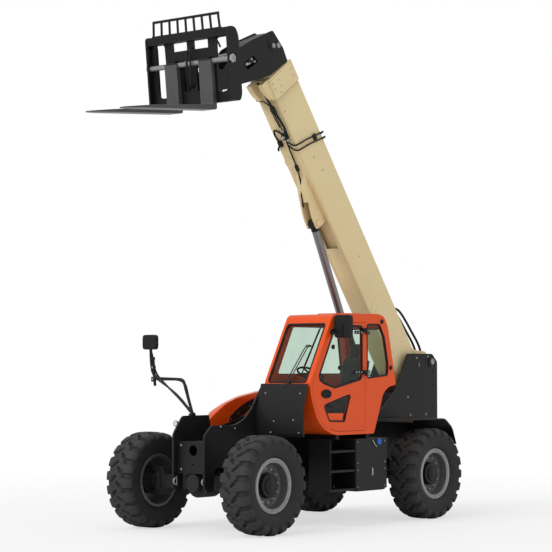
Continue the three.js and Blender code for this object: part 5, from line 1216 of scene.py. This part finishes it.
for x, y, z in lampRear:
    lamps.append(block(frontPlace, (y - 0.002, y + 0.030), (x - 0.012, x + 0.012), (z - 0.09, z + 0.09),
                       0.010))
piece("rear_lamps", lamps, "redLens", "chassis", bevel=0.002)
piece("front_lamp", [lathe((-0.298, -2.085, 1.484), [-1, 0, 0],
                           [(0, 0), (0.018, 0), (0.018, 0.03), (0, 0.03)], 20),
                     lathe((-0.345, -2.070, 1.484), [0, -1, 0],
                           [(0, 0), (0.026, 0), (0.042, 0.030), (0.042, 0.050), (0, 0.050)], 28)],
      "black", "chassis", sharp=30)
piece("front_lamp_lens", [lathe((-0.345, -2.119, 1.484), [0, -1, 0],
                                [(0, 0), (0.037, 0), (0.032, 0.006), (0, 0.008)], 28)],
      "clearLens", "chassis", sharp=30)

# Shackles under the front plate's sides, hoses behind the fork bar and at the boom's foot.
shackles = []
for x in (-0.262, 0.262):
    ring = np.linspace(0, math.pi, 13)
    loop = np.stack([np.full(13, x), -2.175 - 0.040 * np.sin(ring) * 1.6, 0.700 + 0.046 * np.cos(ring)], -1)
    shackles.append(tube(loop, 0.013, 12))
    shackles.append(rod((x, -2.178, 0.640), (x, -2.178, 0.760), 0.012, 14))
piece("front_shackles", shackles, "shaft", "chassis")
routes = [[(0.02, 0.40, 0.50), (0.05, 0.53, 0.42), (0.06, 0.545, 0.20), (0.03, 0.52, 0.00),
           (0.00, 0.45, -0.10)],
          [(-0.06, 0.40, 0.46), (-0.04, 0.50, 0.38), (-0.03, 0.53, 0.18), (-0.05, 0.50, -0.04),
           (-0.06, 0.45, -0.14)],
          [(0.42, 0.445, 0.50), (0.47, 0.475, 0.56), (0.53, 0.480, 0.50), (0.55, 0.455, 0.42)]]
piece("carriage_hoses", [tube(pathIn(carriagePlace, route, 8), 0.013, 10) for route in routes],
      "hose", "carriage")
footHose = {"first": -0.035, "gap": 0.07, "spread": 0.045, "radius": 0.019}
for k in range(2):
    x = footHose["first"] + footHose["gap"] * k
    arc = np.array([(x, 2.403, 3.112), (x, 2.510, 3.175), (x, 2.660, 3.095), (x, 2.905, 2.850),
                    (x, 3.143, 2.573),
                    (x, 3.225, 2.300), (x, 3.215, 2.080)]) + np.array([0, footHose["spread"] * k, 0.0])
    arc[0] = (x, 2.403 - 0.03 * k, 3.112 + 0.041 * k)
    arc[-1] = (x, 3.235, 2.080)
    looped = piece(f"boom_foot_hose_{k + 1}", [tube(spline(arc, 10), footHose["radius"], 12)], "hose",
                   None)
    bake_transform(looped)
forkTop = 6.43
for node in ("fork_left", "fork_right"):
    repaint(finished[node], "black", lambda x, y, z: z > forkTop)
print("frame details made")

# Floor, light and camera
stageSize = {"floor": 60.0, "floorColour": 0.80, "worldLight": 0.78, "sun": 1.35,
             "sunSpread": 25, "fadeFrom": 5.0, "fadeTo": 14.0, "nearGlow": 0.62}
cameraView = {"place": [17.4199, -21.3340, 2.2855], "towards": (-0.6380, 0.7686, 0.0477), "lens": 122.55,
              "sensor": 36, "clip": 500}


def makeFloor():
    mesh = bpy.data.meshes.new("floor")
    half = stageSize["floor"]
    mesh.from_pydata([(-half, -half, 0), (half, -half, 0), (half, half, 0), (-half, half, 0)], [],
                     [(0, 1, 2, 3)])
    floor = bpy.data.objects.new("floor", mesh)
    bpy.context.scene.collection.objects.link(floor)
    look, tree, shader = newLook("floorWhite")
    tone = stageSize["floorColour"]
    shader.inputs["Base Color"].default_value = (tone, tone, tone, 1)
    shader.inputs["Roughness"].default_value = 0.9
    shader.inputs["Specular IOR Level"].default_value = 0.1
    glow = addNode(tree, "ShaderNodeEmission", {"Color": (1, 1, 1, 1), "Strength": 1.0})
    path = addNode(tree, "ShaderNodeLightPath").outputs
    seen = mathNode(tree, "MAXIMUM", path["Is Camera Ray"], path["Is Transmission Ray"])
    coords = addNode(tree, "ShaderNodeTexCoord").outputs["Object"]
    far = addNode(tree, "ShaderNodeVectorMath", {0: coords}, operation="LENGTH").outputs["Value"]
    fade = addNode(tree, "ShaderNodeMapRange", {"Value": far, "From Min": stageSize["fadeFrom"],
                                                "From Max": stageSize["fadeTo"],
                                                "To Min": stageSize["nearGlow"], "To Max": 1.0}).outputs[0]
    mix = addNode(tree, "ShaderNodeMixShader", {0: mathNode(tree, "MULTIPLY", seen, fade),
                                                1: shader.outputs[0], 2: glow.outputs[0]})
    tree.links.new(mix.outputs[0], tree.nodes["Material Output"].inputs["Surface"])
    mesh.materials.append(look)


def makeLights():
    world = bpy.data.worlds.new("studio")
    bpy.context.scene.world = world
    world.use_nodes = True
    tree = world.node_tree
    light = tree.nodes["Background"]
    light.inputs["Color"].default_value = (1, 1, 1, 1)
    light.inputs["Strength"].default_value = stageSize["worldLight"]
    white = addNode(tree, "ShaderNodeBackground", {"Color": (1, 1, 1, 1), "Strength": 1.0})
    path = addNode(tree, "ShaderNodeLightPath").outputs
    seen = mathNode(tree, "MAXIMUM", path["Is Camera Ray"], path["Is Transmission Ray"])
    mix = addNode(tree, "ShaderNodeMixShader", {0: seen, 1: light.outputs[0], 2: white.outputs[0]})
    tree.links.new(mix.outputs[0], tree.nodes["World Output"].inputs["Surface"])
    sun = bpy.data.lights.new("key", "SUN")
    sun.energy, sun.angle = stageSize["sun"], math.radians(stageSize["sunSpread"])
    lamp = bpy.data.objects.new("key", sun)
    bpy.context.scene.collection.objects.link(lamp)
    lamp.rotation_euler = Vector((0.10, 0.80, -0.62)).to_track_quat("-Z", "Y").to_euler()


def makeCamera():
    data = bpy.data.cameras.new("view")
    data.lens, data.sensor_width = cameraView["lens"], cameraView["sensor"]
    data.clip_end = cameraView["clip"]
    camera = bpy.data.objects.new("view", data)
    bpy.context.scene.collection.objects.link(camera)
    camera.location = Vector(np.array(cameraView["place"]) + shift)
    camera.rotation_euler = Vector(cameraView["towards"]).to_track_quat("-Z", "Y").to_euler()
    bpy.context.scene.camera = camera


makeFloor()
makeLights()
makeCamera()
bpy.context.scene.view_settings.view_transform = "Standard"
print("stage made")
